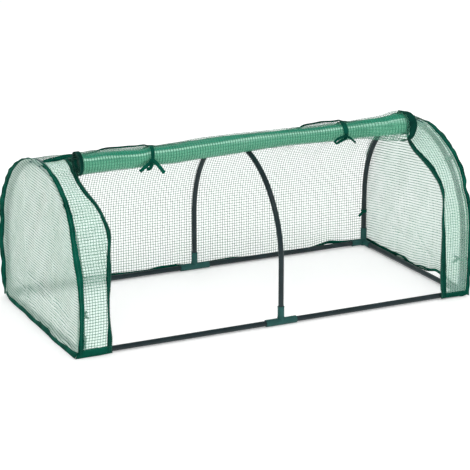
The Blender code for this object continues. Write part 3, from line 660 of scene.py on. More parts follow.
# Creases in each end wall, as (start, end, width, height) with the ends given as (y, z)
CREASES = {
    -1: (
        ((-0.26, 0.085), (0.10, 0.125), 0.006, 0.0042), ((-0.10, 0.10), (0.24, 0.075), 0.007, -0.0036),
        ((-0.27, 0.03), (0.0, 0.11), 0.008, 0.0030), ((0.02, 0.02), (0.20, 0.10), 0.008, 0.0034),
    ),
    1: (((-0.22, 0.05), (0.16, 0.10), 0.007, 0.0030), ((-0.12, 0.04), (0.0, 0.13), 0.007, 0.0026)),
}


def seam_at(side, s):
    """How far from the tunnel's middle an end seam lies."""
    return SEAM[side](s) + waves(s, (0.0003, 0.043, 0.3))


def seam_out(side, s):
    """How far the end seam stands off the arch, outwards from the hoop."""
    return waves(s, (0.0004, 0.17, 0.45 * side), (0.0003, 0.071, 0.2))


def seam_line(side, s):
    """The cover's corner line: (points, outward ways) at one end."""
    x = side * seam_at(side, s)
    points, ways = arch_line(x, s, FILM_RADIUS)
    return points + ways * roof_out(x, s)[:, None], ways


def fold_marks(at, places, height, width):
    """Sharp low ridges where the film was folded in its pack."""
    return sum(height * np.exp(-np.abs(at - place) / width) for place in places)


def roof_out(x, s):
    """How far the roof's film stands off its even level: slack, ripples, fold marks and the ridge."""
    sway = np.sin(math.pi * x / HALF_LENGTH) ** 2
    arched = np.clip(1.25 - np.abs(s) / FILM_QUARTER, 0.15, 1.0)
    slack = -0.0045 * sway * arched
    ripple = waves(x + 0.35 * s, (0.0009, 0.13, 0.2), (0.0005, 0.061, 0.7))
    ripple = ripple + waves(0.3 * x - s, (0.0007, 0.17, 0.5), (0.0004, 0.049, 0.1))
    folds = fold_marks(x, (-0.44, -0.15, 0.15, 0.44), 0.0011, 0.007)
    folds = folds + fold_marks(s, (-0.33, -0.16, 0.16, 0.33, 0.50), 0.0009, 0.007)
    lift = RIDGE(x) * np.exp(-np.abs(s) / RIDGE_REACH)
    skirt = ease((np.abs(s) - 0.50) / 0.12) * waves(x, (0.0022, 0.31, 0.2), (0.0012, 0.11, 0.55))
    calm = 1 - ease((np.abs(x) - END_ZONE) / 0.06)
    near_end = ease((np.abs(x) - END_ZONE) / 0.07)
    ends = np.where(x < 0, seam_out(-1, s), seam_out(1, s)) * near_end
    return slack + (ripple + folds + skirt) * calm + lift + ends


def roof_point(x, s, kept=1.0):
    """A point of the roof's film; kept is the share of its height off the arch that it keeps."""
    y, z, out_y, out_z = arch(s, FILM_RADIUS)
    out = roof_out(x, s) * kept
    hitched = np.where(s > 0, HEM_FOOT["back"](x) - 0.002, 0.0) * np.exp(-(z - FILM_FOOT) / 0.035)
    return xyz(x, y + out * out_y, z + out * out_z + np.maximum(hitched, 0.0))


# Net threads

def painted(w, geometry, material):
    """Makes copies real and gives them their material."""
    real = w.node("GeometryNodeRealizeInstances", Geometry=geometry)
    return w.node("GeometryNodeSetMaterial", Geometry=real.outputs[0], Material=material).outputs[0]


def thread_tree():
    """Lays a grid of threads on a sheet by its UV map, which is in metres."""
    numbers = ["Low U", "High U", "Low V", "High V", "Pitch", "Width U", "Width V"]
    numbers += ["Flatness", "Step U", "Step V"]
    w, given, results = new_group(
        "net_threads", "GeometryNodeTree",
        {"Sheet": "Geometry", **dict.fromkeys(numbers, "Float"), "Material": "Material"},
        {"Threads": "Geometry"},
    )
    sheet = given["Sheet"]
    data = {"data_type": "FLOAT_VECTOR"}
    uv = w.node("GeometryNodeInputNamedAttribute", settings=data, Name="cloth").outputs["Attribute"]
    place = w.node("GeometryNodeInputPosition").outputs[0]
    joined = w.node("GeometryNodeJoinGeometry")

    def side_of_grid(axis, step):
        """The size, the number of points and the middle of one side of the grid."""
        low, high = given[f"Low {axis}"], given[f"High {axis}"]
        size = w.math("SUBTRACT", high, low)
        count = w.math("ADD", w.math("FLOOR", w.math("DIVIDE", size, given[step])), 1.0)
        return size, count, w.math("MULTIPLY", w.math("ADD", low, high), 0.5)

    for width, step_u, step_v, crossing in (
        ("Width U", "Step U", "Pitch", "Y"),
        ("Width V", "Pitch", "Step V", "X"),
    ):
        size_u, count_u, middle_u = side_of_grid("U", step_u)
        size_v, count_v, middle_v = side_of_grid("V", step_v)
        grid = w.node("GeometryNodeMeshGrid", size_u, size_v, count_u, count_v)
        middle = w.node("ShaderNodeCombineXYZ", middle_u, middle_v).outputs[0]
        moved = w.node("GeometryNodeSetPosition", Geometry=grid.outputs["Mesh"], Offset=middle)
        ends = w.node("GeometryNodeInputMeshEdgeVertices").outputs
        gap = w.vector("SUBTRACT", ends["Position 1"], ends["Position 2"])
        stray = w.math("ABSOLUTE", w.node("ShaderNodeSeparateXYZ", gap).outputs[crossing])
        compare = {"data_type": "FLOAT", "operation": "GREATER_THAN"}
        across = w.node("FunctionNodeCompare", stray, 1e-5, settings=compare).outputs[0]
        edges = {"domain": "EDGE", "mode": "EDGE_FACE"}
        lines = w.node("GeometryNodeDeleteGeometry", moved.outputs[0], across, settings=edges)
        on_sheet = w.node(
            "GeometryNodeSampleUVSurface", settings=data,
            Mesh=sheet, Value=place, Source_UV_Map=uv, Sample_UV=place,
        ).outputs
        missing = w.node("FunctionNodeBooleanMath", on_sheet["Is Valid"], settings={"operation": "NOT"})
        points = {"domain": "POINT"}
        trimmed = w.node("GeometryNodeDeleteGeometry", lines.outputs[0], missing.outputs[0], settings=points)
        laid = w.node("GeometryNodeSetPosition", Geometry=trimmed.outputs[0], Position=on_sheet["Value"])
        curves = w.node("GeometryNodeMeshToCurve", Mesh=laid.outputs[0]).outputs[0]
        radius = w.math("MULTIPLY", given[width], 0.5)
        profile = w.node("GeometryNodeCurvePrimitiveCircle", Resolution=4, Radius=radius).outputs[0]
        tubes = w.node("GeometryNodeCurveToMesh", Curve=curves, Profile_Curve=profile, Fill_Caps=True)
        near = w.node("GeometryNodeProximity", sheet, settings={"target_element": "FACES"})
        inward = w.vector("SUBTRACT", near.outputs["Position"], place)
        pressed = w.vector("SCALE", inward, Scale=given["Flatness"])
        flat = w.node("GeometryNodeSetPosition", Geometry=tubes.outputs[0], Offset=pressed)
        w.put(joined.inputs[0], flat.outputs[0])
    even = w.node("GeometryNodeSetShadeSmooth", Geometry=joined.outputs[0]).outputs[0]
    w.put(results["Threads"], painted(w, even, given["Material"]))
    return w.tree


def run_tree(obj, tree, **values):
    """Adds a tree to an object, sets its inputs by name and settles the result."""
    modifier = obj.modifiers.new(tree.name, "NODES")
    modifier.node_group = tree
    by_name = {item.name: item.identifier for item in tree.interface.items_tree if item.in_out == "INPUT"}
    for name, value in values.items():
        modifier[by_name[name.replace("_", " ")]] = value
    return settle(obj)


def net_over(name, sheet_mesh, tree, material, widths, low, high, steps):
    """The threads of one panel, centred so that the grid has an even margin on both sides."""
    obj = put_in_scene(name, sheet_mesh.copy(), material)
    tiny = NET_PITCH * 1e-3
    spans = []
    for start, stop in zip(low, high):
        room = stop - start
        margin = (room - math.floor(room / NET_PITCH) * NET_PITCH) / 2
        spans += [start + margin, stop - margin + tiny]
    names = ("Low_U", "High_U", "Low_V", "High_V", "Width_U", "Width_V", "Step_U", "Step_V")
    values = dict(zip(names, (*spans, *widths, *steps)))
    return run_tree(obj, tree, Pitch=NET_PITCH, Flatness=THREAD_FLATNESS, Material=material, **values)


def film_piece(name, sheet_mesh, material):
    """A sheet's film with its real thickness; milky film lets the soft light through."""
    obj = put_in_scene(name, sheet_mesh, material)
    obj.visible_shadow = False
    obj.visible_diffuse = False
    solid = obj.modifiers.new("thickness", "SOLIDIFY")
    solid.thickness = FILM_THICKNESS
    solid.offset = 0.0
    return settle(obj)


# Rows of small things along a line

def row_tree():
    """Sets copies of one small piece along a line of points, by the line's own outward ways."""
    w, given, results = new_group(
        "row_along_line", "GeometryNodeTree",
        {"Line": "Geometry", "Piece": "Object", "Pitch": "Float", "Material": "Material"},
        {"Row": "Geometry"},
    )
    curve = w.node("GeometryNodeMeshToCurve", Mesh=given["Line"]).outputs[0]
    by_length = {"mode": "LENGTH"}
    spaced = w.node("GeometryNodeResampleCurve", settings=by_length, Curve=curve, Length=given["Pitch"])
    shape = w.node("GeometryNodeObjectInfo", Object=given["Piece"]).outputs["Geometry"]
    data = {"data_type": "FLOAT_VECTOR"}
    outward = w.node("GeometryNodeInputNamedAttribute", settings=data, Name="outward").outputs["Attribute"]
    tangent = w.node("GeometryNodeInputTangent").outputs[0]
    turn = w.node(
        "FunctionNodeAxesToRotation", settings={"primary_axis": "X", "secondary_axis": "Z"},
        Primary_Axis=tangent, Secondary_Axis=outward,
    ).outputs[0]
    placed = w.node("GeometryNodeInstanceOnPoints", Points=spaced.outputs[0], Instance=shape, Rotation=turn)
    w.put(results["Row"], painted(w, placed.outputs[0], given["Material"]))
    return w.tree


def rows_along(name, lines, pattern, tree, pitch, material):
    """Copies of a small piece along several lines of (points, outward ways), as one object."""
    points, edges, ways = [], [], []
    for line, outward in lines:
        first = len(points)
        points += np.asarray(line).tolist()
        ways += np.asarray(outward).tolist()
        edges += [(first + i, first + i + 1) for i in range(len(line) - 1)]
    mesh = bpy.data.meshes.new(name)
    mesh.from_pydata(points, edges, [])
    layer = mesh.attributes.new("outward", "FLOAT_VECTOR", "POINT")
    layer.data.foreach_set("vector", np.asarray(ways, np.float32).reshape(-1))
    obj = put_in_scene(name, mesh, material)
    return run_tree(obj, tree, Piece=pattern, Pitch=pitch, Material=material)


def small_piece(name, size, bevel):
    """A rounded bar to repeat: longest along X, its outer face at +Z."""
    bm = bmesh.new()
    bmesh.ops.create_cube(bm, size=1.0)
    for vertex in bm.verts:
        vertex.co = Vector(a * b for a, b in zip(vertex.co, size))
    bmesh.ops.bevel(bm, geom=bm.edges[:], offset=bevel, segments=1, affect="EDGES")
    mesh = mesh_of(name, bm)
    mesh.shade_smooth()
    return bare_object(name, mesh)


class Kit:
    """What every step of the build uses: the finishes, the node trees and the small patterns."""

    def __init__(self):
        self.finishes = make_finishes()
        self.threads, self.rows = thread_tree(), row_tree()
        self.stitch = small_piece("stitch", (0.0026, 0.0005, 0.0004), 0.00012)
        self.tooth = small_piece("tooth", (0.0009, 0.0022, 0.0014), 0.0002)

    def add(self, name, mesh, finish, body, slot, *nodes):
        """Puts a piece in the scene, on its body, for the solids that it replaces."""
        return belongs(put_in_scene(name, mesh, self.finishes[finish]), body, slot, *nodes)

    def stitches(self, name, lines, slot="binding"):
        row = rows_along(name, lines, self.stitch, self.rows, STITCH_PITCH, self.finishes["stitch"])
        belongs(row, ROOT, slot)

    def teeth(self, name, line, body):
        row = rows_along(name, [line], self.tooth, self.rows, TOOTH_PITCH, self.finishes["teeth"])
        belongs(row, body, "zip")

    def put_away(self):
        for pattern in (self.stitch, self.tooth):
            bpy.data.objects.remove(pattern)


# Tubes and connectors

def circle_rings(centres, across, up, radius):
    turn = np.arange(SIDES) * math.tau / SIDES
    radius = np.broadcast_to(radius, len(centres))
    across, up = (np.broadcast_to(v, (len(centres), 3)) for v in (across, up))
    ring = np.cos(turn)[None, :, None] * across[:, None] + np.sin(turn)[None, :, None] * up[:, None]
    return np.asarray(centres)[:, None] + radius[:, None, None] * ring


def sleeve_mesh(name, centres, across, up, outer, inner):
    """A thin-walled tube, open right through."""
    outside, inside = (circle_rings(centres, across, up, radius) for radius in (outer, inner))
    return loft_mesh(name, np.concatenate([outside, inside[::-1]]), closed=True)


def straight_centres(start, end, count=2):
    start, end = np.asarray(start, float), np.asarray(end, float)
    return start + (end - start) * np.linspace(0, 1, count)[:, None]


def make_tubes(kit):
    """The rails on the ground and the three hoops, each of two bent halves."""
    x_axis, y_axis, z_axis = np.eye(3)

    def tube(node, centres, across, up):
        mesh = sleeve_mesh(node, centres, across, up, TUBE_RADIUS, TUBE_BORE)
        kit.add(f"tube_{node}", mesh, "tube", ROOT, "tube", node)

    outer, inner = HALF_LENGTH - CORNER_ARM + INSERTION, TEE_ARM - INSERTION
    for row, y in (("front", -BEND_RADIUS), ("back", BEND_RADIUS)):
        for end, side in ENDS:
            centres = straight_centres((side * outer, y, RAIL_HEIGHT), (side * inner, y, RAIL_HEIGHT))
            tube(f"{row}_rail_{end}", centres, y_axis, z_axis)
    reach = BEND_RADIUS - CORNER_ARM + INSERTION
    for end, side in ENDS:
        x = side * HALF_LENGTH
        centres = straight_centres((x, -reach, RAIL_HEIGHT), (x, reach, RAIL_HEIGHT))
        tube(f"side_rail_{end}", centres, x_axis, z_axis)
    quarter = BEND_RADIUS * QUARTER
    for place, x, rise in HOOPS:
        leg = quarter + SPRING_HEIGHT - (RAIL_HEIGHT + rise - INSERTION)
        for half, side in (("front", -1), ("back", 1)):
            s = np.concatenate([np.linspace(0.0002, quarter, 61), [leg]]) * side
            centres, ways = arch_line(x, s, BEND_RADIUS)
            tube(f"hoop_{place}_{half}_half", centres, x_axis, ways)


def solid_rod(start, end, radius):
    """A closed cylinder object between two points, for joining and cutting."""
    start, end = Vector(start), Vector(end)
    size = {"segments": ROD_SIDES, "radius1": radius, "radius2": radius, "depth": (end - start).length}
    bm = bmesh.new()
    bmesh.ops.create_cone(bm, cap_ends=True, **size)
    turn = Vector((0, 0, 1)).rotation_difference(end - start).to_matrix().to_4x4()
    bm.transform(Matrix.Translation((start + end) / 2) @ turn)
    return bare_object("rod", mesh_of("rod", bm))


def combine(target, tool, operation):
    """Joins a tool to an object or cuts it out of it; the tool is used up."""
    modifier = target.modifiers.new("combine", "BOOLEAN")
    modifier.operation = operation
    modifier.solver = "EXACT"
    modifier.object = tool
    settle(target)
    bpy.data.objects.remove(tool)


def moulded(kit, node, bars, bores, rims):
    """A moulded connector: bars joined, sockets bored, mouth rims added and every edge rounded."""
    body = solid_rod(*bars[0])
    for bar in bars[1:] + rims:
        combine(body, solid_rod(*bar), "UNION")
    for bore in bores:
        combine(body, solid_rod(*bore), "DIFFERENCE")
    body.name = f"moulded_{node}"
    round_edges(body, 0.0007, 3, 28)
    body.data.materials.clear()
    body.data.materials.append(kit.finishes["connector"])
    belongs(body, ROOT, "connector", node)


def bore_into(mouth, way):
    """A socket's bore from just outside its mouth, with way pointing into the connector."""
    return (mouth - way * 0.002, mouth + way * (INSERTION + SOCKET_GAP), TUBE_RADIUS + SOCKET_GAP)


def mouth_rim(mouth, way, radius):
    """The slightly thicker collar at a socket's mouth."""
    return (mouth + way * RIM_START, mouth + way * RIM_STOP, radius)


def make_connectors(kit):
    """The corners and tees with their sockets, and the sleeves at the hoops' crowns."""
    x_axis, y_axis, z_axis = Vector((1, 0, 0)), Vector((0, 1, 0)), Vector((0, 0, 1))
    for row, side_y in (("front", -1), ("back", 1)):
        for end, side_x in ENDS:
            centre = Vector((side_x * HALF_LENGTH, side_y * BEND_RADIUS, RAIL_HEIGHT))
            top = centre + z_axis * CORNER_RISE
            bars = [(Vector((centre.x, centre.y, 0.0)), top, RISER_RADIUS)]
            bores = [bore_into(top, -z_axis)]
            rims = []
            for way in (-side_x * x_axis, -side_y * y_axis):
                mouth = centre + way * CORNER_ARM
                bars.append((centre, mouth, SOCKET_RADIUS))
                bores.append(bore_into(mouth, -way))
                rims.append(mouth_rim(mouth, -way, SOCKET_RADIUS + 0.0004))
            rims.append(mouth_rim(top, -z_axis, RISER_RADIUS + 0.0003))
            moulded(kit, f"corner_connector_{row}_{end}", bars, bores, rims)
        centre = Vector((0, side_y * BEND_RADIUS, RAIL_HEIGHT))
        left, right, top = centre - x_axis * TEE_ARM, centre + x_axis * TEE_ARM, centre + z_axis * TEE_RISE
        collar = centre + z_axis * (RUN_RADIUS - 0.001)
        bars = [
            (left, right, RUN_RADIUS),
            (centre, top, SOCKET_RADIUS),
            (collar, collar + z_axis * 0.003, SOCKET_RADIUS + 0.0011),
        ]
        bores = [bore_into(left, x_axis), bore_into(right, -x_axis), bore_into(top, -z_axis)]
        rims = [mouth_rim(top, -z_axis, SOCKET_RADIUS + 0.0004)]
        moulded(kit, f"tee_connector_{row}", bars, bores, rims)
    reach = COUPLER_REACH * BEND_RADIUS
    ends = np.array([reach, reach - 0.0008, reach - 0.0012])
    line = np.linspace(-(reach - 0.0016), reach - 0.0016, 41)
    s = np.concatenate([-ends, line, ends[::-1]])
    radius = np.full(len(s), RUN_RADIUS)
    radius[[0, -1]] = RUN_RADIUS - 0.0012
    radius[[1, -2]] = RUN_RADIUS - 0.0002
    for place, x, _ in HOOPS:
        centres, ways = arch_line(x, s, BEND_RADIUS)
        node = f"hoop_coupler_{place}"
        mesh = sleeve_mesh(node, centres, np.eye(3)[0], ways, radius, TUBE_RADIUS + SOCKET_GAP)
        kit.add(f"moulded_{node}", mesh, "connector", ROOT, "connector", node)


# The cover's film

def roof_sheet(name, s_low, s_high):
    """The back panel, from its seam with the door over the ridge and down to the ground."""
    s = np.concatenate([[-DOOR_HINGE, -0.0053], np.linspace(s_low, s_high, 71)])
    grid_x, grid_s = np.meshgrid(np.linspace(-FILM_END, FILM_END, 135), s)
    past = ease((np.abs(grid_x) - END_ZONE) / (FILM_END - END_ZONE))
    left, right = seam_at(-1, grid_s), seam_at(1, grid_s)
    wide = np.where(grid_x < 0, -left, right) - np.sign(grid_x) * FILM_END
    beside_door = ease((grid_x - DOOR_LEFT) / 0.02) * ease((DOOR_RIGHT - grid_x) / 0.02)
    tucked = np.clip((s_low - grid_s) / (s_low + DOOR_HINGE), 0, 1) * beside_door
    points = roof_point(grid_x + wide * past, grid_s, 1 - tucked)
    return grid_mesh(name, points, np.stack([grid_x, grid_s], axis=-1))


def strip_sheet(name, side, s_low, s_high):
    """A front strip's film, from its zip to its end seam; its net runs along the seam."""
    share, grid_s = np.meshgrid(np.linspace(0, 1, 15), np.linspace(s_low, s_high, 72))
    from_zip = ZIP_EDGE[side](grid_s) - 0.004
    wide = seam_at(side, grid_s) - from_zip
    points = roof_point(side * (from_zip + wide * share), grid_s)
    uv = np.stack([side * (FILM_END - wide * (1 - share)), grid_s], axis=-1)
    return grid_mesh(name, points, uv), uv


def end_points(side):
    """An end wall: rows from the ground to the crown, each as wide as the arch is there."""
    leg = FILM_FOOT + (SPRING_HEIGHT - FILM_FOOT) * np.linspace(0, 1, 25)[:-1] ** 1.3
    turn = np.linspace(0.0, QUARTER - 0.02, 38)
    z = np.concatenate([leg, SPRING_HEIGHT + FILM_RADIUS * np.sin(turn)])
    half = np.concatenate([np.full(len(leg), FILM_RADIUS), FILM_RADIUS * np.cos(turn)])
    share = np.sin(np.linspace(-QUARTER, QUARTER, 73))
    y = half[:, None] * share
    z = np.repeat(z[:, None], len(share), axis=1)
    rise = z - SPRING_HEIGHT
    depth = np.where(rise > 0, FILM_RADIUS - np.hypot(y, rise), FILM_RADIUS - np.abs(y))
    depth = np.maximum(depth, 0.0)
    on_arch = FILM_RADIUS * np.arctan2(y, np.maximum(rise, 0))
    s_near = np.where(rise > 0, on_arch, np.sign(y) * (FILM_QUARTER - rise))
    pull = seam_at(side, s_near) - FILM_END
    pull = pull * np.exp(-depth / np.where(pull > 0, 0.045, 0.006))
    inside = 1 - np.exp(-((depth / 0.022) ** 2))
    bulge = inside * np.sin(math.pi * (z / 0.46))
    hitched = 0.0
    if side < 0:
        low = np.exp(-(z - FILM_FOOT) / 0.030)
        foot = (LEFT_HEM_OUT(y) - 0.003 - FILM_END) * low * (1 - np.exp(-depth / 0.012))
        billow = foot + bulge * 0.0035 * np.sin(math.pi * y / 0.2)
    else:
        billow = bulge * 0.003
        hitched = (HEM_FOOT["right"](y) - 0.002) * np.exp(-(z - FILM_FOOT) / 0.035)
    creases = sum(crease(y, z, *line) for line in CREASES[side])
    ripple = waves(0.8 * y + 0.5 * z, (0.0011, 0.12, 0.3), (0.0006, 0.055, 0.8))
    ripple = ripple + waves(0.4 * y - z, (0.0008, 0.16, 0.6), (0.0004, 0.047, 0.2))
    folds = fold_marks(z, (0.15, 0.30), 0.0011, 0.006) + fold_marks(y, (-0.10, 0.10), 0.0010, 0.006)
    x = side * (FILM_END + pull + billow + (creases + ripple + folds) * inside)
    out = seam_out(side, s_near) * np.exp(-depth / 0.05)
    tilt = NET_TILT[side]
    along, up = y * math.cos(tilt) + z * math.sin(tilt), z * math.cos(tilt) - y * math.sin(tilt)
    return xyz(x, y * (1 + out / FILM_RADIUS), z + hitched), np.stack([along, up], axis=-1)


def crease(y, z, start, end, width, height):
    """A soft fold in a wall, along the line from start to end."""
    run, climb = end[0] - start[0], end[1] - start[1]
    length = math.hypot(run, climb)
    along = ((y - start[0]) * run + (z - start[1]) * climb) / length
    off = ((z - start[1]) * run - (y - start[0]) * climb) / length
    fade = ease(along / 0.05) * ease((length - along) / 0.05)
    return height * fade * np.exp(-((off / width) ** 2))


def make_cover(kit):
    """The film panels, each with its net of threads: {panel: (film, net)}."""
    over = -OVER_RIDGE
    sheets = {"back_panel": (roof_sheet("back_panel", over, FOOT_S), (-FILM_END, over), (FILM_END, FOOT_S))}
    for end, side in ENDS:
        name = f"front_strip_{end}"
        mesh, uv = strip_sheet(name, side, -FOOT_S, over)
        sheets[name] = (mesh, uv.min(axis=(0, 1)), uv.max(axis=(0, 1)))
        name = f"end_panel_{end}"
        points, uv = end_points(side)
        sheets[name] = (grid_mesh(name, points, uv), uv.min(axis=(0, 1)), uv.max(axis=(0, 1)))
    kinds = {
        # The back panel takes the clearer copy of the film, with painted backlight
        "back_panel": (BACK_THREADS, "back_film", (0.018, 0.012)),
        "front_strip_left": (LEFT_STRIP_THREADS, "film", (0.004, 0.008)),
        "front_strip_right": (RIGHT_STRIP_THREADS, "film", (0.004, 0.008)),
        # The end walls take the milkier copy of the film, with painted glare
        "end_panel_left": (LEFT_END_THREADS, "end_film", (0.008, 0.008)),
        "end_panel_right": (RIGHT_END_THREADS, "end_film", (0.008, 0.008)),
    }
    pieces = {}
    margin = 0.0025
    for name, (mesh, low, high) in sheets.items():
        low, high = [v + margin for v in low], [v - margin for v in high]
        widths, film_key, steps = kinds[name]
        net = net_over(f"net_{name}", mesh, kit.threads, kit.finishes["thread"], widths, low, high, steps)
        film = film_piece(f"film_{name}", mesh, kit.finishes[film_key])
        belongs(net, ROOT, "film")
        belongs(film, ROOT, "film", name)
        pieces[name] = (film, net)
    return pieces


# Tapes

def rounded_band(width, thickness, start=0.0):
    """A flat band's profile with a round outer edge: (along the band's width, across its thickness)."""
    half = thickness / 2
    turn = np.linspace(-QUARTER, QUARTER, 5)
    tip = [(start + width - half + half * math.cos(t), half * math.sin(t)) for t in turn]
    return np.array([(start, -half)] + tip + [(start, half)])


def sweep_band(name, points, way_a, way_b, profile, sharp=40):
    """Sweeps a profile along points; way_a runs along the band's width and way_b across it."""
    points, way_a, way_b = (np.asarray(v, float) for v in (points, way_a, way_b))
    profile = np.broadcast_to(profile, (len(points), *np.asarray(profile).shape[-2:]))
    rings = points[:, None] + profile[..., :1] * way_a[:, None] + profile[..., 1:] * way_b[:, None]
    return loft_mesh(name, rings, sharp=sharp)


def turned(lean, flat, up):
    """The ways along and across a tape that leans from flat towards up."""
    return np.cos(lean) * flat + np.sin(lean) * up, -np.sin(lean) * flat + np.cos(lean) * up


def fin_mesh(name, roots, out, over, width):
    """A folded tape that stands out from a seam, as wide as said at each point."""
    profile = np.stack([rounded_band(w, TAPE_THICKNESS, -0.001) for w in width])
    return sweep_band(name, roots, out, over, profile)


def both_faces(line, over, height):
    """A line of stitches on each face of a tape."""
    return [(line + over * height * turn, over * turn) for turn in (1, -1)]


def make_seam_tapes(kit):
    """The tape round each end: a band on the end wall and a wider folded fin that leans about."""
    s = np.linspace(-FOOT_S - 0.002, FOOT_S + 0.002, 420)
    for (end, side), wide, in_low in zip(ENDS, (0.0140, 0.0160), (0.020, 0.010)):
        points, ways = seam_line(side, s)
        axial = np.array([side, 0.0, 0.0])
        out, over = turned(np.radians(SEAM_LEAN[side](s))[:, None], axial, ways)
        root = points + ways * 0.0009 + axial * 0.0009
        width = wide + waves(s, (0.0008, 0.12, 0.4), (0.0007, 0.043, 0.2))
        if side < 0:
            width = width + 0.0035 * hump(s, -0.42, 0.10) - 0.0090 * hump(s, 0.05, 0.15)
        else:
            width = width - 0.0040 * ease((-s - 0.12) / 0.12) - 0.0100 * hump(s, 0.0, 0.075)
        width = width * (1 - 0.55 * ease((s - FOOT_S + 0.035) / 0.03))
        fin = fin_mesh(f"seam_{end}", root, out, over, width)
        kit.add(f"seam_fin_{end}", fin, "tape", ROOT, "binding", f"end_seam_tape_{end}")
        reach = 0.0025 + 0.0055 * ease((-s - 0.10) / 0.12) + (in_low - 0.008) * ease((-s - 0.44) / 0.10)
        half = 0.0006
        profile = np.stack([
            [(0.0, -half), (w, -half), (w + half, 0.0), (w, half), (0.0, half)] for w in reach
        ])
        inner = points - axial * 0.0014 - ways * 0.0006
        wall = sweep_band(f"seam_wall_{end}", inner, -ways, np.broadcast_to(axial, ways.shape), profile)
        kit.add(f"seam_wall_band_{end}", wall, "fold", ROOT, "binding")
        middle = root + out * (width[:, None] * 0.42)
        kit.stitches(f"seam_stitches_{end}", both_faces(middle, over, STITCH_LEVEL))


def make_ridge(kit):
    """The ridge tape: it lies flat at the left end, then stands up, and leans forward at the ties."""
    x = np.linspace(-0.592, 0.592, 300)
    flat = np.zeros_like(x)
    y, z, _, _ = arch(flat, FILM_RADIUS)
    points = xyz(x, y, z + roof_out(x, flat) + 0.0002)
    lean = (np.radians(RIDGE_LEAN(x)) + waves(x, (0.05, 0.13, 0.6)))[:, None]
    back, up = np.eye(3)[1:]
    out, over = turned(lean, back, up)
    forward = ease((lean - math.radians(115)) / 0.5)
    roots = points + back * 0.006 * forward
    width = 0.0125 + waves(x, (0.0007, 0.17, 0.2), (0.0005, 0.06, 0.7)) - 0.002 * forward[:, 0]
    mesh = fin_mesh("ridge_fin", roots, out, over, width)
    kit.add("ridge_fin", mesh, "tape", ROOT, "binding", "ridge_tape")
    profile = np.array([(-0.0048, 0.0), (-0.0043, 0.0011), (0.0070, 0.0011), (0.0075, 0.0)])
    level_ways = (np.broadcast_to(way, points.shape) for way in (back, up))
    base = sweep_band("ridge_base", points, *level_ways, profile)
    kit.add("ridge_base_tape", base, "tape", ROOT, "binding")
    middle = roots + out * (width[:, None] * 0.45)
    kit.stitches("ridge_stitches", both_faces(middle, over, STITCH_LEVEL))


def hem_piece(kit, node, top, foot, outward):
    """A folded hem over a film's lower edge, given the lines of its top and its foot."""
    down = foot - top
    height = np.linalg.norm(down, axis=1)
    down = down / height[:, None]
    profile = np.stack([rounded_band(h, 0.0021) for h in height])
    outward = np.broadcast_to(outward, top.shape)
    kit.add(f"folded_{node}", sweep_band(node, top, down, outward, profile), "tape", ROOT, "binding", node)
    kit.stitches(f"stitches_{node}", both_faces(top + down * 0.0028, outward, 0.00115))


def at_height(wall, z):
    """The place across a wall's rows where each column reaches a height."""
    columns = range(wall.shape[1])
    return np.array([np.interp(z[c], wall[:, c, 2], wall[:, c, 0]) for c in columns])


def make_hems(kit):
    """The hems along the ground: at the back, under each front strip and under each end wall."""
    x = np.linspace(-0.596, 0.596, 220)
    s_low = FILM_QUARTER + SPRING_HEIGHT - 0.02
    y = roof_point(x, np.full_like(x, s_low))[:, 1]
    back = np.array([0.0, 1.0, 0.0])
    foot = xyz(x, y + 0.0015 * np.sin(x * 9), HEM_FOOT["back"](x))
    hem_piece(kit, "hem_back", xyz(x, y, HEM_TOP["back"](x)), foot, back)
    share = np.linspace(0, 1, 36)
    for (end, side), high, low, flare in zip(ENDS, (0.0225, 0.0175), (0.001, 0.003), (0.011, 0.0015)):
        start = ZIP_TEETH[side](-0.63)
        x = side * (start + (seam_at(side, -0.62) - start) * share)
        y = roof_point(x, np.full_like(x, -s_low))[:, 1]
        top = xyz(x, y, high + waves(x, (0.0006, 0.11, 0.2)))
        foot = xyz(x + side * flare * share**3, y - 0.001, low + 0.0006 * np.sin(share * 5))
        hem_piece(kit, f"hem_strip_{end}", top, foot, -back)
        wall, _ = end_points(side)
        y = wall[0, :, 1]
        keep = np.abs(y) < 0.2945
        top_z = HEM_TOP[end](y)
        top_x = at_height(wall, top_z)
        if side < 0:
            foot = xyz(-LEFT_HEM_OUT(y), y, 0.0015)
        else:
            foot = xyz(top_x + 0.001, y, HEM_FOOT[end](y))
        hem_piece(kit, f"hem_end_{end}", xyz(top_x, y, top_z)[keep], foot[keep], np.array([side, 0.0, 0.0]))


def make_zips(kit):
    """The strips' halves of the zips: tape, coil and the stitches that hold the tape to the film."""
    s = np.linspace(-(FOOT_S + 0.003), -0.005, 260)
    _, ways = arch_line(0.0, s, FILM_RADIUS)
    for end, side in ENDS:
        outer = roof_point(side * ZIP_EDGE[side](s), s) + ways * 0.0008
        curl = 0.0012 + waves(s, (0.0009, 0.11, 0.3))
        edge = roof_point(side * ZIP_TEETH[side](s), s) + ways * curl[:, None]
        across = edge - outer
        width = np.linalg.norm(across, axis=1)
        across = across / width[:, None]
        face = unit(np.cross(np.gradient(outer, axis=0), across) * side)
        half = 0.0005
        profile = np.stack([[(0.0, -half), (w, -half), (w, half), (0.0, half)] for w in width - 0.0016])
        mesh = sweep_band(f"zip_band_{end}", outer, across, face, profile)
        kit.add(f"zip_band_{end}", mesh, "zip", ROOT, "zip", f"zip_tape_{end}")
        turn = np.arange(10) * math.tau / 10
        piping = np.stack([0.0009 * np.cos(turn) - 0.0022, 0.0009 * np.sin(turn) + 0.0003], axis=-1)
        cord = sweep_band(f"zip_cord_{end}", edge, across, face, piping, sharp=80)
        kit.add(f"zip_cord_{end}", cord, "teeth", ROOT, "zip")
        kit.teeth(f"zip_teeth_{end}", (edge - across * 0.0011, face), ROOT)
        seams = [(edge - across * inset + face * 0.0006, face) for inset in (0.0045, 0.0085)]
        kit.stitches(f"zip_stitches_{end}", seams, "zip")


# Zip sliders

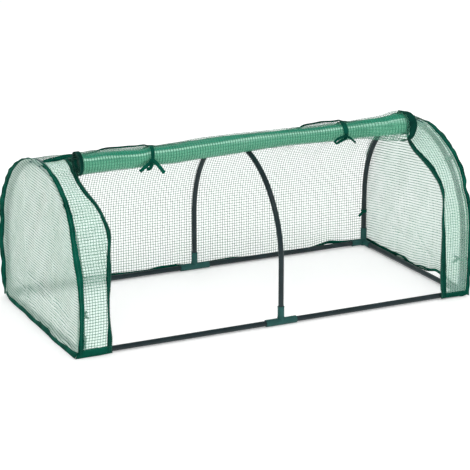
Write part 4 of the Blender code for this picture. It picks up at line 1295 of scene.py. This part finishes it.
def make_sliders(kit):
    """The sliders and pulls, cast forms with softened edges."""
    for node in ("zip_slider_left", "zip_slider_right", "zip_pull_left", "zip_pull_right"):
        source = bpy.data.objects[node]
        bm = bmesh.new()
        bm.from_mesh(source.data)
        bm.transform(source.matrix_world)
        bmesh.ops.remove_doubles(bm, verts=bm.verts, dist=1e-6)
        bmesh.ops.dissolve_limit(bm, angle_limit=math.radians(1), verts=bm.verts, edges=bm.edges)
        obj = put_in_scene(f"cast_{node}", mesh_of(node, bm), kit.finishes["slider"])
        round_edges(obj, 0.00025, 2, 40)
        belongs(obj, node, "slider", node)


# The rolled door

ROLL_SAG = through(
    (-0.53, 20.7), (-0.40, 20.5), (-0.35, 20.6), (-0.31, 19.8), (-0.25, 20.1), (-0.20, 19.7),
    (-0.10, 18.8), (0.0, 17.5), (0.10, 16.8), (0.20, 17.2), (0.31, 17.7), (0.35, 18.1), (0.40, 21.2),
    (0.45, 22.9), (0.50, 23.2),
)
ROLL_OUTER = through(
    (-0.535, 0.0325), (-0.518, 0.0318), (-0.503, 0.0293), (-0.46, 0.0296), (-0.40, 0.0280),
    (-0.35, 0.0268), (-0.31, 0.0268), (-0.25, 0.0279), (-0.15, 0.0293), (-0.05, 0.0283), (0.0, 0.0268),
    (0.10, 0.0250), (0.20, 0.0246), (0.25, 0.0255), (0.30, 0.0262), (0.35, 0.0285), (0.40, 0.0352),
    (0.45, 0.0437), (0.50, 0.0440),
)
ROLL_SLACK = through(
    (-0.54, 0.0014), (0.30, 0.0014), (0.35, 0.0024), (0.40, 0.0074), (0.45, 0.0132), (0.50, 0.0115),
)
ROLL_RISE = through((-0.54, 0.0), (0.30, 0.0), (0.35, 0.0016), (0.40, 0.0062), (0.45, 0.0077), (0.50, 0.006))


def roll_centre(x):
    """The middle of the roll's outer turn at a place along the tunnel: (y, z)."""
    lean = np.radians(ROLL_SAG(x))
    away = BEND_RADIUS + 0.0103 + ROLL_OUTER(x)
    return -away * np.sin(lean), SPRING_HEIGHT + away * np.cos(lean)


def roll_surface(x, degrees, off):
    """A point on the roll's outside, by its angle seen from the left end."""
    y, z = roll_centre(x)
    radius = ROLL_OUTER(x) + off
    angle = np.radians(degrees)
    return xyz(x, y + radius * np.cos(angle), z + radius * np.sin(angle))


def door_point(x, turn, drawn_in=0.0):
    """A point of the rolled sheet by the angle wound since it left the hoops."""
    y, z = roll_centre(x)
    wound = turn / math.tau
    tight = ease((wound - 0.80) / 0.35)
    radius = ROLL_OUTER(x) - ROLL_SLACK(x) * tight - ROLL_PITCH * np.maximum(wound - 1.0, 0.0)
    near_ties = hump(x, LEFT_TIE, 0.022) + hump(x, RIGHT_TIE, 0.022)
    gather = near_ties * 0.0009 * np.sin(turn * 9 + 3)
    crumple = 0.0005 * np.sin(turn * 3 + x * 23) + 0.0003 * np.sin(turn * 7 - x * 41)
    radius = radius + (gather + crumple) * ease(turn / 0.8) - drawn_in
    angle = -QUARTER + np.radians(ROLL_SAG(x)) - turn
    return xyz(x, y + radius * np.cos(angle), z + radius * np.sin(angle) + ROLL_RISE(x) * tight)


def roll_arc_length(turn):
    """The sheet's length wound up to a turn."""
    past = np.maximum(turn - math.tau, 0.0)
    return ROLL_RADIUS * turn - ROLL_PITCH * past**2 / (2 * math.tau)


def web_point(x, share):
    """The door between its hinge line at the ridge and the roll, lying on the hoops' line."""
    s = -DOOR_HINGE + share * (DOOR_HINGE - np.radians(ROLL_SAG(x)) * FILM_RADIUS)
    y, z, out_y, out_z = arch(s, FILM_RADIUS)
    sag = np.minimum(RIDGE(x), 0.0) * ease((-s - DOOR_HINGE) / 0.015)
    out = sag * np.exp(-np.abs(s) / RIDGE_REACH) * (1 - share) - 0.0004 * share
    return xyz(x, y + out * out_y, z + out * out_z)


def door_sheet(name, turns):
    """The door's film from the ridge into the roll, as one sheet with UV in metres."""
    x = np.linspace(DOOR_LEFT, DOOR_RIGHT, 136)
    contact = ROLL_LEAN * FILM_RADIUS
    web = np.linspace(0.0, 1.0, 12)[:-1]
    turning = np.linspace(0.0, turns * math.tau, round(turns * 32) + 1)
    points = np.stack([web_point(x, share) for share in web] + [door_point(x, turn) for turn in turning])
    lengths = np.concatenate([DOOR_HINGE + web * (contact - DOOR_HINGE), contact + roll_arc_length(turning)])
    mesh = grid_mesh(name, points, np.stack(np.meshgrid(x, lengths), axis=-1))
    wound = np.concatenate([0 * web, turning / math.tau])
    layer = mesh.attributes.new("wound", "FLOAT", "POINT")
    layer.data.foreach_set("value", np.repeat(wound, len(x)).astype(np.float32))
    return mesh, lengths[-1]


def make_door(kit):
    """The film door with its net, its edge tapes and the teeth along them."""
    sheet, length = door_sheet("door", ROLL_TURNS)
    outer, high_v = door_sheet("door_outer", 1.9)
    low, high = (DOOR_LEFT + 0.003, 0.0095), (DOOR_RIGHT - 0.003, high_v - 0.003)
    thread, steps = kit.finishes["door_thread"], (0.018, 0.0045)
    net = net_over("net_door", outer, kit.threads, thread, DOOR_THREADS, low, high, steps)
    belongs(net, DOOR, "film")
    bpy.data.meshes.remove(outer)
    film = film_piece("film_door", sheet, kit.finishes["door_film"])
    belongs(film, DOOR, "film", "door_panel", "door_hem")
    turns = np.linspace(0.25, ROLL_TURNS * math.tau, 240)
    wound = turns / math.tau
    for (end, side), start in zip(ENDS, (DOOR_LEFT + 0.001, DOOR_RIGHT - 0.001)):
        slip = 0.0016 * np.sin(turns * 0.9 + side) + 0.0009 * np.sin(turns * 2.3)
        drawn_in = 0.0
        x = np.full_like(turns, start)
        if side > 0:
            slip = slip + 0.0085 * ease((wound - 0.75) / 0.7) + 0.0125 * hump(wound, 0.37, 0.15)
            drawn_in = 0.004 * ease(turns / 2)
            x = x - 0.011 * hump(wound, 0.56, 0.07)
        inner_edge = door_point(x, turns, -0.0008)
        outer_edge = door_point(np.full_like(turns, start + side * DOOR_TAPE_WIDTHS[side]), turns, drawn_in)
        outer_edge[:, 0] += side * slip
        tangent = unit(np.gradient(inner_edge, axis=0))
        normal = unit(np.cross(tangent, outer_edge - inner_edge))
        half = normal * 0.0006
        rings = np.stack([inner_edge + half, outer_edge + half, outer_edge - half, inner_edge - half], axis=1)
        band = loft_mesh(f"door_band_{end}", rings)
        # Painted shade: the door's tapes take the darker copy of the zip tape
        kit.add(f"door_zip_band_{end}", band, "door_tape", DOOR, "zip", f"door_zip_tape_{end}")
        kit.teeth(f"door_teeth_{end}", (outer_edge, normal), DOOR)


# Ties

def ribbon_mesh(name, points, side_ways, width):
    """A ribbon along points; side_ways gives the way of its width at each point."""
    tangent = unit(np.gradient(points, axis=0))
    side = np.broadcast_to(side_ways, points.shape).astype(float)
    side = unit(side - (side * tangent).sum(1)[:, None] * tangent)
    normal = np.cross(tangent, side)
    width = np.broadcast_to(width, len(points))
    w, h = width / 2, RIBBON_THICKNESS / 2
    corners = ((-w, -h), (w, -h), (w + h, 0.0), (w, h), (-w, h), (-w - h, 0.0))
    profile = np.stack([np.stack(np.broadcast_arrays(*corner), axis=-1) for corner in corners], axis=1)
    rings = points[:, None] + profile[..., :1] * side[:, None] + profile[..., 1:] * normal[:, None]
    return loft_mesh(name, rings, sharp=60)


def smooth_line(points, count):
    """A smooth curve through a few points, with Catmull-Rom pieces."""
    p = np.asarray(points, float)
    p = np.concatenate([[2 * p[0] - p[1]], p, [2 * p[-1] - p[-2]]])
    made = []
    for t in np.linspace(0, len(points) - 1 - 1e-9, count):
        i = int(t)
        u = t - i
        a, b, c, d = p[i : i + 4]
        bend = (2 * a - 5 * b + 4 * c - d) * u**2 + (3 * b - a - 3 * c + d) * u**3
        made.append(0.5 * (2 * b + (c - a) * u + bend))
    return np.asarray(made)


def tie_ring(x):
    """The tie's line round the roll: along the web, over the top and back under the web."""
    angles = np.linspace(TIE_FROM, TIE_FROM + TIE_SWEEP, TIE_POINTS)
    around = roll_surface(np.full(TIE_POINTS, x), angles, 0.0012)
    on_web, _ = arch_line(x, np.array([-0.011, -0.029]), FILM_RADIUS + 0.0008)
    lead = straight_centres(*on_web, 4)[:-1]
    rise = straight_centres(on_web[1], around[0], 11)[:-1]
    s = np.linspace(-math.radians(ROLL_SAG(x)) * FILM_RADIUS + 0.004, -0.011, 16)
    under, _ = arch_line(x, s, FILM_RADIUS - 0.0016)
    return np.concatenate([lead, rise, around, under])


def knot_mesh(name, centre, size, turn):
    """A soft half-hitch: a lumpy bead with two wraps."""
    bm = bmesh.new()
    bmesh.ops.create_icosphere(bm, subdivisions=4, radius=1.0)
    for vertex in bm.verts:
        v = vertex.co
        wrap = 0.10 * math.cos(6 * v.x + 2 * v.z) + 0.05 * math.sin(9 * v.y + 4 * v.x)
        vertex.co = v * (1 + wrap)
    scale = Matrix.Diagonal((*size, 1.0))
    bm.transform(Matrix.Translation(centre) @ Matrix.Rotation(turn, 4, "X") @ scale)
    mesh = mesh_of(name, bm)
    layer = mesh.uv_layers.new(name="tape")
    for loop in mesh.loops:
        co = mesh.vertices[loop.vertex_index].co
        layer.data[loop.index].uv = (co.x, co.z)
    mesh.shade_smooth()
    return mesh


# The ties' loose ends, as routes from the knot, with the way that each ribbon's width lies
LEFT_TIE_ENDS = {
    "left_end": (
        [(0, 0, 0), (-0.012, -0.006, -0.007), (-0.026, -0.007, -0.016), (-0.039, -0.006, -0.027)],
        (0.5, 0.0, -0.8),
    ),
    "right_end": (
        [(0, 0, 0), (0.009, -0.006, -0.008), (0.020, -0.007, -0.022), (0.032, -0.006, -0.038)],
        (0.8, 0.0, 0.5),
    ),
    "stub": (
        [(0, 0, 0), (-0.003, -0.006, -0.011), (-0.010, -0.007, -0.020), (-0.019, -0.004, -0.023)],
        (0.5, 0.0, -0.8),
    ),
}
RIGHT_TIE_ENDS = {
    "bow": (
        [
            (0.002, 0, 0), (-0.010, -0.006, -0.006), (-0.024, -0.009, -0.009), (-0.036, -0.010, -0.013),
            (-0.043, -0.009, -0.010), (-0.034, -0.007, -0.003), (-0.020, -0.005, 0.001),
            (-0.004, -0.002, 0.003),
        ],
        (0.1, 0.75, 0.66),
    ),
    "right_end": (
        [(0, 0, 0), (0.008, -0.006, -0.003), (0.016, -0.008, -0.010), (0.026, -0.008, -0.019)],
        (0.5, 0.5, 0.7),
    ),
}


def make_ties(kit):
    """Each tie: a ribbon round the roll, its knot in front and its loose ends."""
    for end, x, knot_angle, shift, ends, ring_wide, end_wide in (
        ("left", LEFT_TIE, 189, -0.0075, LEFT_TIE_ENDS, 0.0100, 0.0095),
        ("right", RIGHT_TIE, 200, 0.0015, RIGHT_TIE_ENDS, 0.0135, 0.0070),
    ):
        ring = tie_ring(x)
        at_knot = 14 + TIE_POINTS * (knot_angle - TIE_FROM) / TIE_SWEEP
        steps = np.arange(len(ring))
        ring[:, 0] += shift * 0.8 * hump(steps, at_knot, 16)
        widths = ring_wide - (ring_wide - 0.0065) * hump(steps, at_knot, 5)
        mesh = ribbon_mesh(f"tie_ring_{end}", ring, (1.0, 0.0, 0.0), widths)
        kit.add(f"tie_ribbon_{end}", mesh, "tape", DOOR, "binding", f"tie_{end}")
        knot = roll_surface(np.array(x), float(knot_angle), 0.0035) + np.array([shift, 0.0, 0.0])
        mesh = knot_mesh(f"tie_knot_{end}", Vector(knot), (0.0066, 0.0038, 0.0050), math.radians(knot_angle))
        kit.add(f"tie_knot_{end}", mesh, "tape", DOOR, "binding")
        for label, (route, level) in ends.items():
            mesh = ribbon_mesh(f"tie_{label}_{end}", smooth_line(route, 32) + knot, level, end_wide)
            kit.add(f"tie_{label}_{end}", mesh, "tape", DOOR, "binding")


# Straps

def make_straps(kit):
    """The bands that hold the cover to the end hoops."""
    leg = BEND_RADIUS * QUARTER + SPRING_HEIGHT - 0.112
    places = (
        ("leg_strap_front", -leg),
        ("leg_strap_back", leg),
        ("arc_strap_front", -math.radians(42.2) * BEND_RADIUS),
    )
    for label, s_middle in places:
        for end, side in ENDS:
            s = s_middle + np.linspace(-0.0048, 0.0048, 5)
            centres, ways = arch_line(side * HALF_LENGTH, s, BEND_RADIUS)
            node = f"{label}_{end}"
            band = sleeve_mesh(node, centres, np.eye(3)[0], ways, STRAP_RADIUS, STRAP_BORE)
            kit.add(f"band_{node}", band, "tape", ROOT, "binding", node)
            axial = np.array([side, 0.0, 0.0])
            corner = (axial + ways) / math.sqrt(2)
            flat = (axial - ways) / math.sqrt(2) * 0.0007
            ring_pair = []
            for reach in (0.0084, 0.0150):
                first, last = (centres + corner * reach)[[0, -1]]
                ring_pair.append([first + flat[0], last + flat[-1], last - flat[-1], first - flat[0]])
            kit.add(f"tab_{node}", loft_mesh(f"tab_{node}", ring_pair), "tape", ROOT, "binding")
            if label.startswith("arc"):
                continue
            bind = centres[2] + np.array([-side * 0.0066, 0.0, 0.0]) + ways[2] * -0.0060
            for tip, reach in (("upper", (-0.013, 0.008, 0.007)), ("lower", (-0.018, 0.006, -0.012))):
                route = [tuple(v * part for v in reach) for part in (0.0, 0.35, 0.7, 1.0)]
                line = smooth_line(route, 10) * np.array([side, -ways[2][1], 1.0]) + bind
                mesh = ribbon_mesh(f"{node}_{tip}_end", line, (0.1, 0.6, 0.8), 0.0070)
                kit.add(f"{tip}_end_{node}", mesh, "tape", ROOT, "binding")


# Stage, light and camera

def make_stage():
    """A plain pale floor."""
    bm = bmesh.new()
    bmesh.ops.create_grid(bm, x_segments=1, y_segments=1, size=20.0)
    white = (0.93, 0.93, 0.93, 1.0)
    paint = Finish(
        "pale_floor", Base_Color=white, Roughness=0.9, Specular_IOR_Level=0.1,
        Emission_Color=white, Emission_Strength=0.22,
    )
    floor = put_in_scene("floor", mesh_of("floor", bm), paint.material)
    floor.location.z = -0.0002


def make_light():
    """An even white room with three softboxes."""
    scene = bpy.context.scene
    world = bpy.data.worlds.new("studio")
    world.use_nodes = True
    scene.world = world
    w = Wiring(world.node_tree)
    path = w.node("ShaderNodeLightPath").outputs
    room = w.math("MULTIPLY_ADD", path["Is Glossy Ray"], -0.55, 0.88)
    seen = w.math("MAXIMUM", path["Is Camera Ray"], path["Is Transmission Ray"])
    back = world.node_tree.nodes["Background"]
    w.put(back.inputs["Strength"], w.math("MULTIPLY_ADD", seen, 0.56, room))
    back.inputs["Color"].default_value = (1.0, 1.0, 1.0, 1.0)
    for name, place, size, power in (
        ("key_softbox", (-1.6, -2.6, 3.0), 1.5, 34.0),
        ("fill_softbox", (2.8, -1.6, 2.2), 1.6, 16.0),
        ("back_softbox", (0.4, 2.6, 2.8), 1.8, 16.0),
    ):
        data = bpy.data.lights.new(name, "AREA")
        data.shape = "SQUARE"
        data.size = size
        data.energy = power
        obj = bare_object(name, data)
        obj.location = place
        obj.rotation_euler = (Vector((0, 0, 0.2)) - Vector(place)).to_track_quat("-Z", "Y").to_euler()
    scene.view_settings.view_transform = "Standard"


def make_camera():
    """The photograph's camera, fitted to the frame's tubes."""
    azimuth, elevation, distance = math.radians(-26.05), math.radians(16.44), 5.527
    target = Vector((0.044, 0.095, 0.153))
    back = Vector((
        math.sin(azimuth) * math.cos(elevation),
        -math.cos(azimuth) * math.cos(elevation),
        math.sin(elevation),
    ))
    data = bpy.data.cameras.new("camera")
    data.lens = 144.0
    data.sensor_width = 36.0
    data.clip_end = 60.0
    obj = bare_object("camera", data)
    obj.location = target + back * distance
    obj.rotation_euler = (-back).to_track_quat("-Z", "Y").to_euler()
    bpy.context.scene.camera = obj


def main():
    """Sets the camera, the stage and the light, then makes the pieces from the frame to the straps."""
    kit = Kit()
    make_camera()
    make_stage()
    make_light()
    make_tubes(kit)
    make_connectors(kit)
    make_cover(kit)
    make_seam_tapes(kit)
    make_ridge(kit)
    make_hems(kit)
    make_zips(kit)
    make_sliders(kit)
    make_door(kit)
    make_ties(kit)
    make_straps(kit)
    kit.put_away()


main()
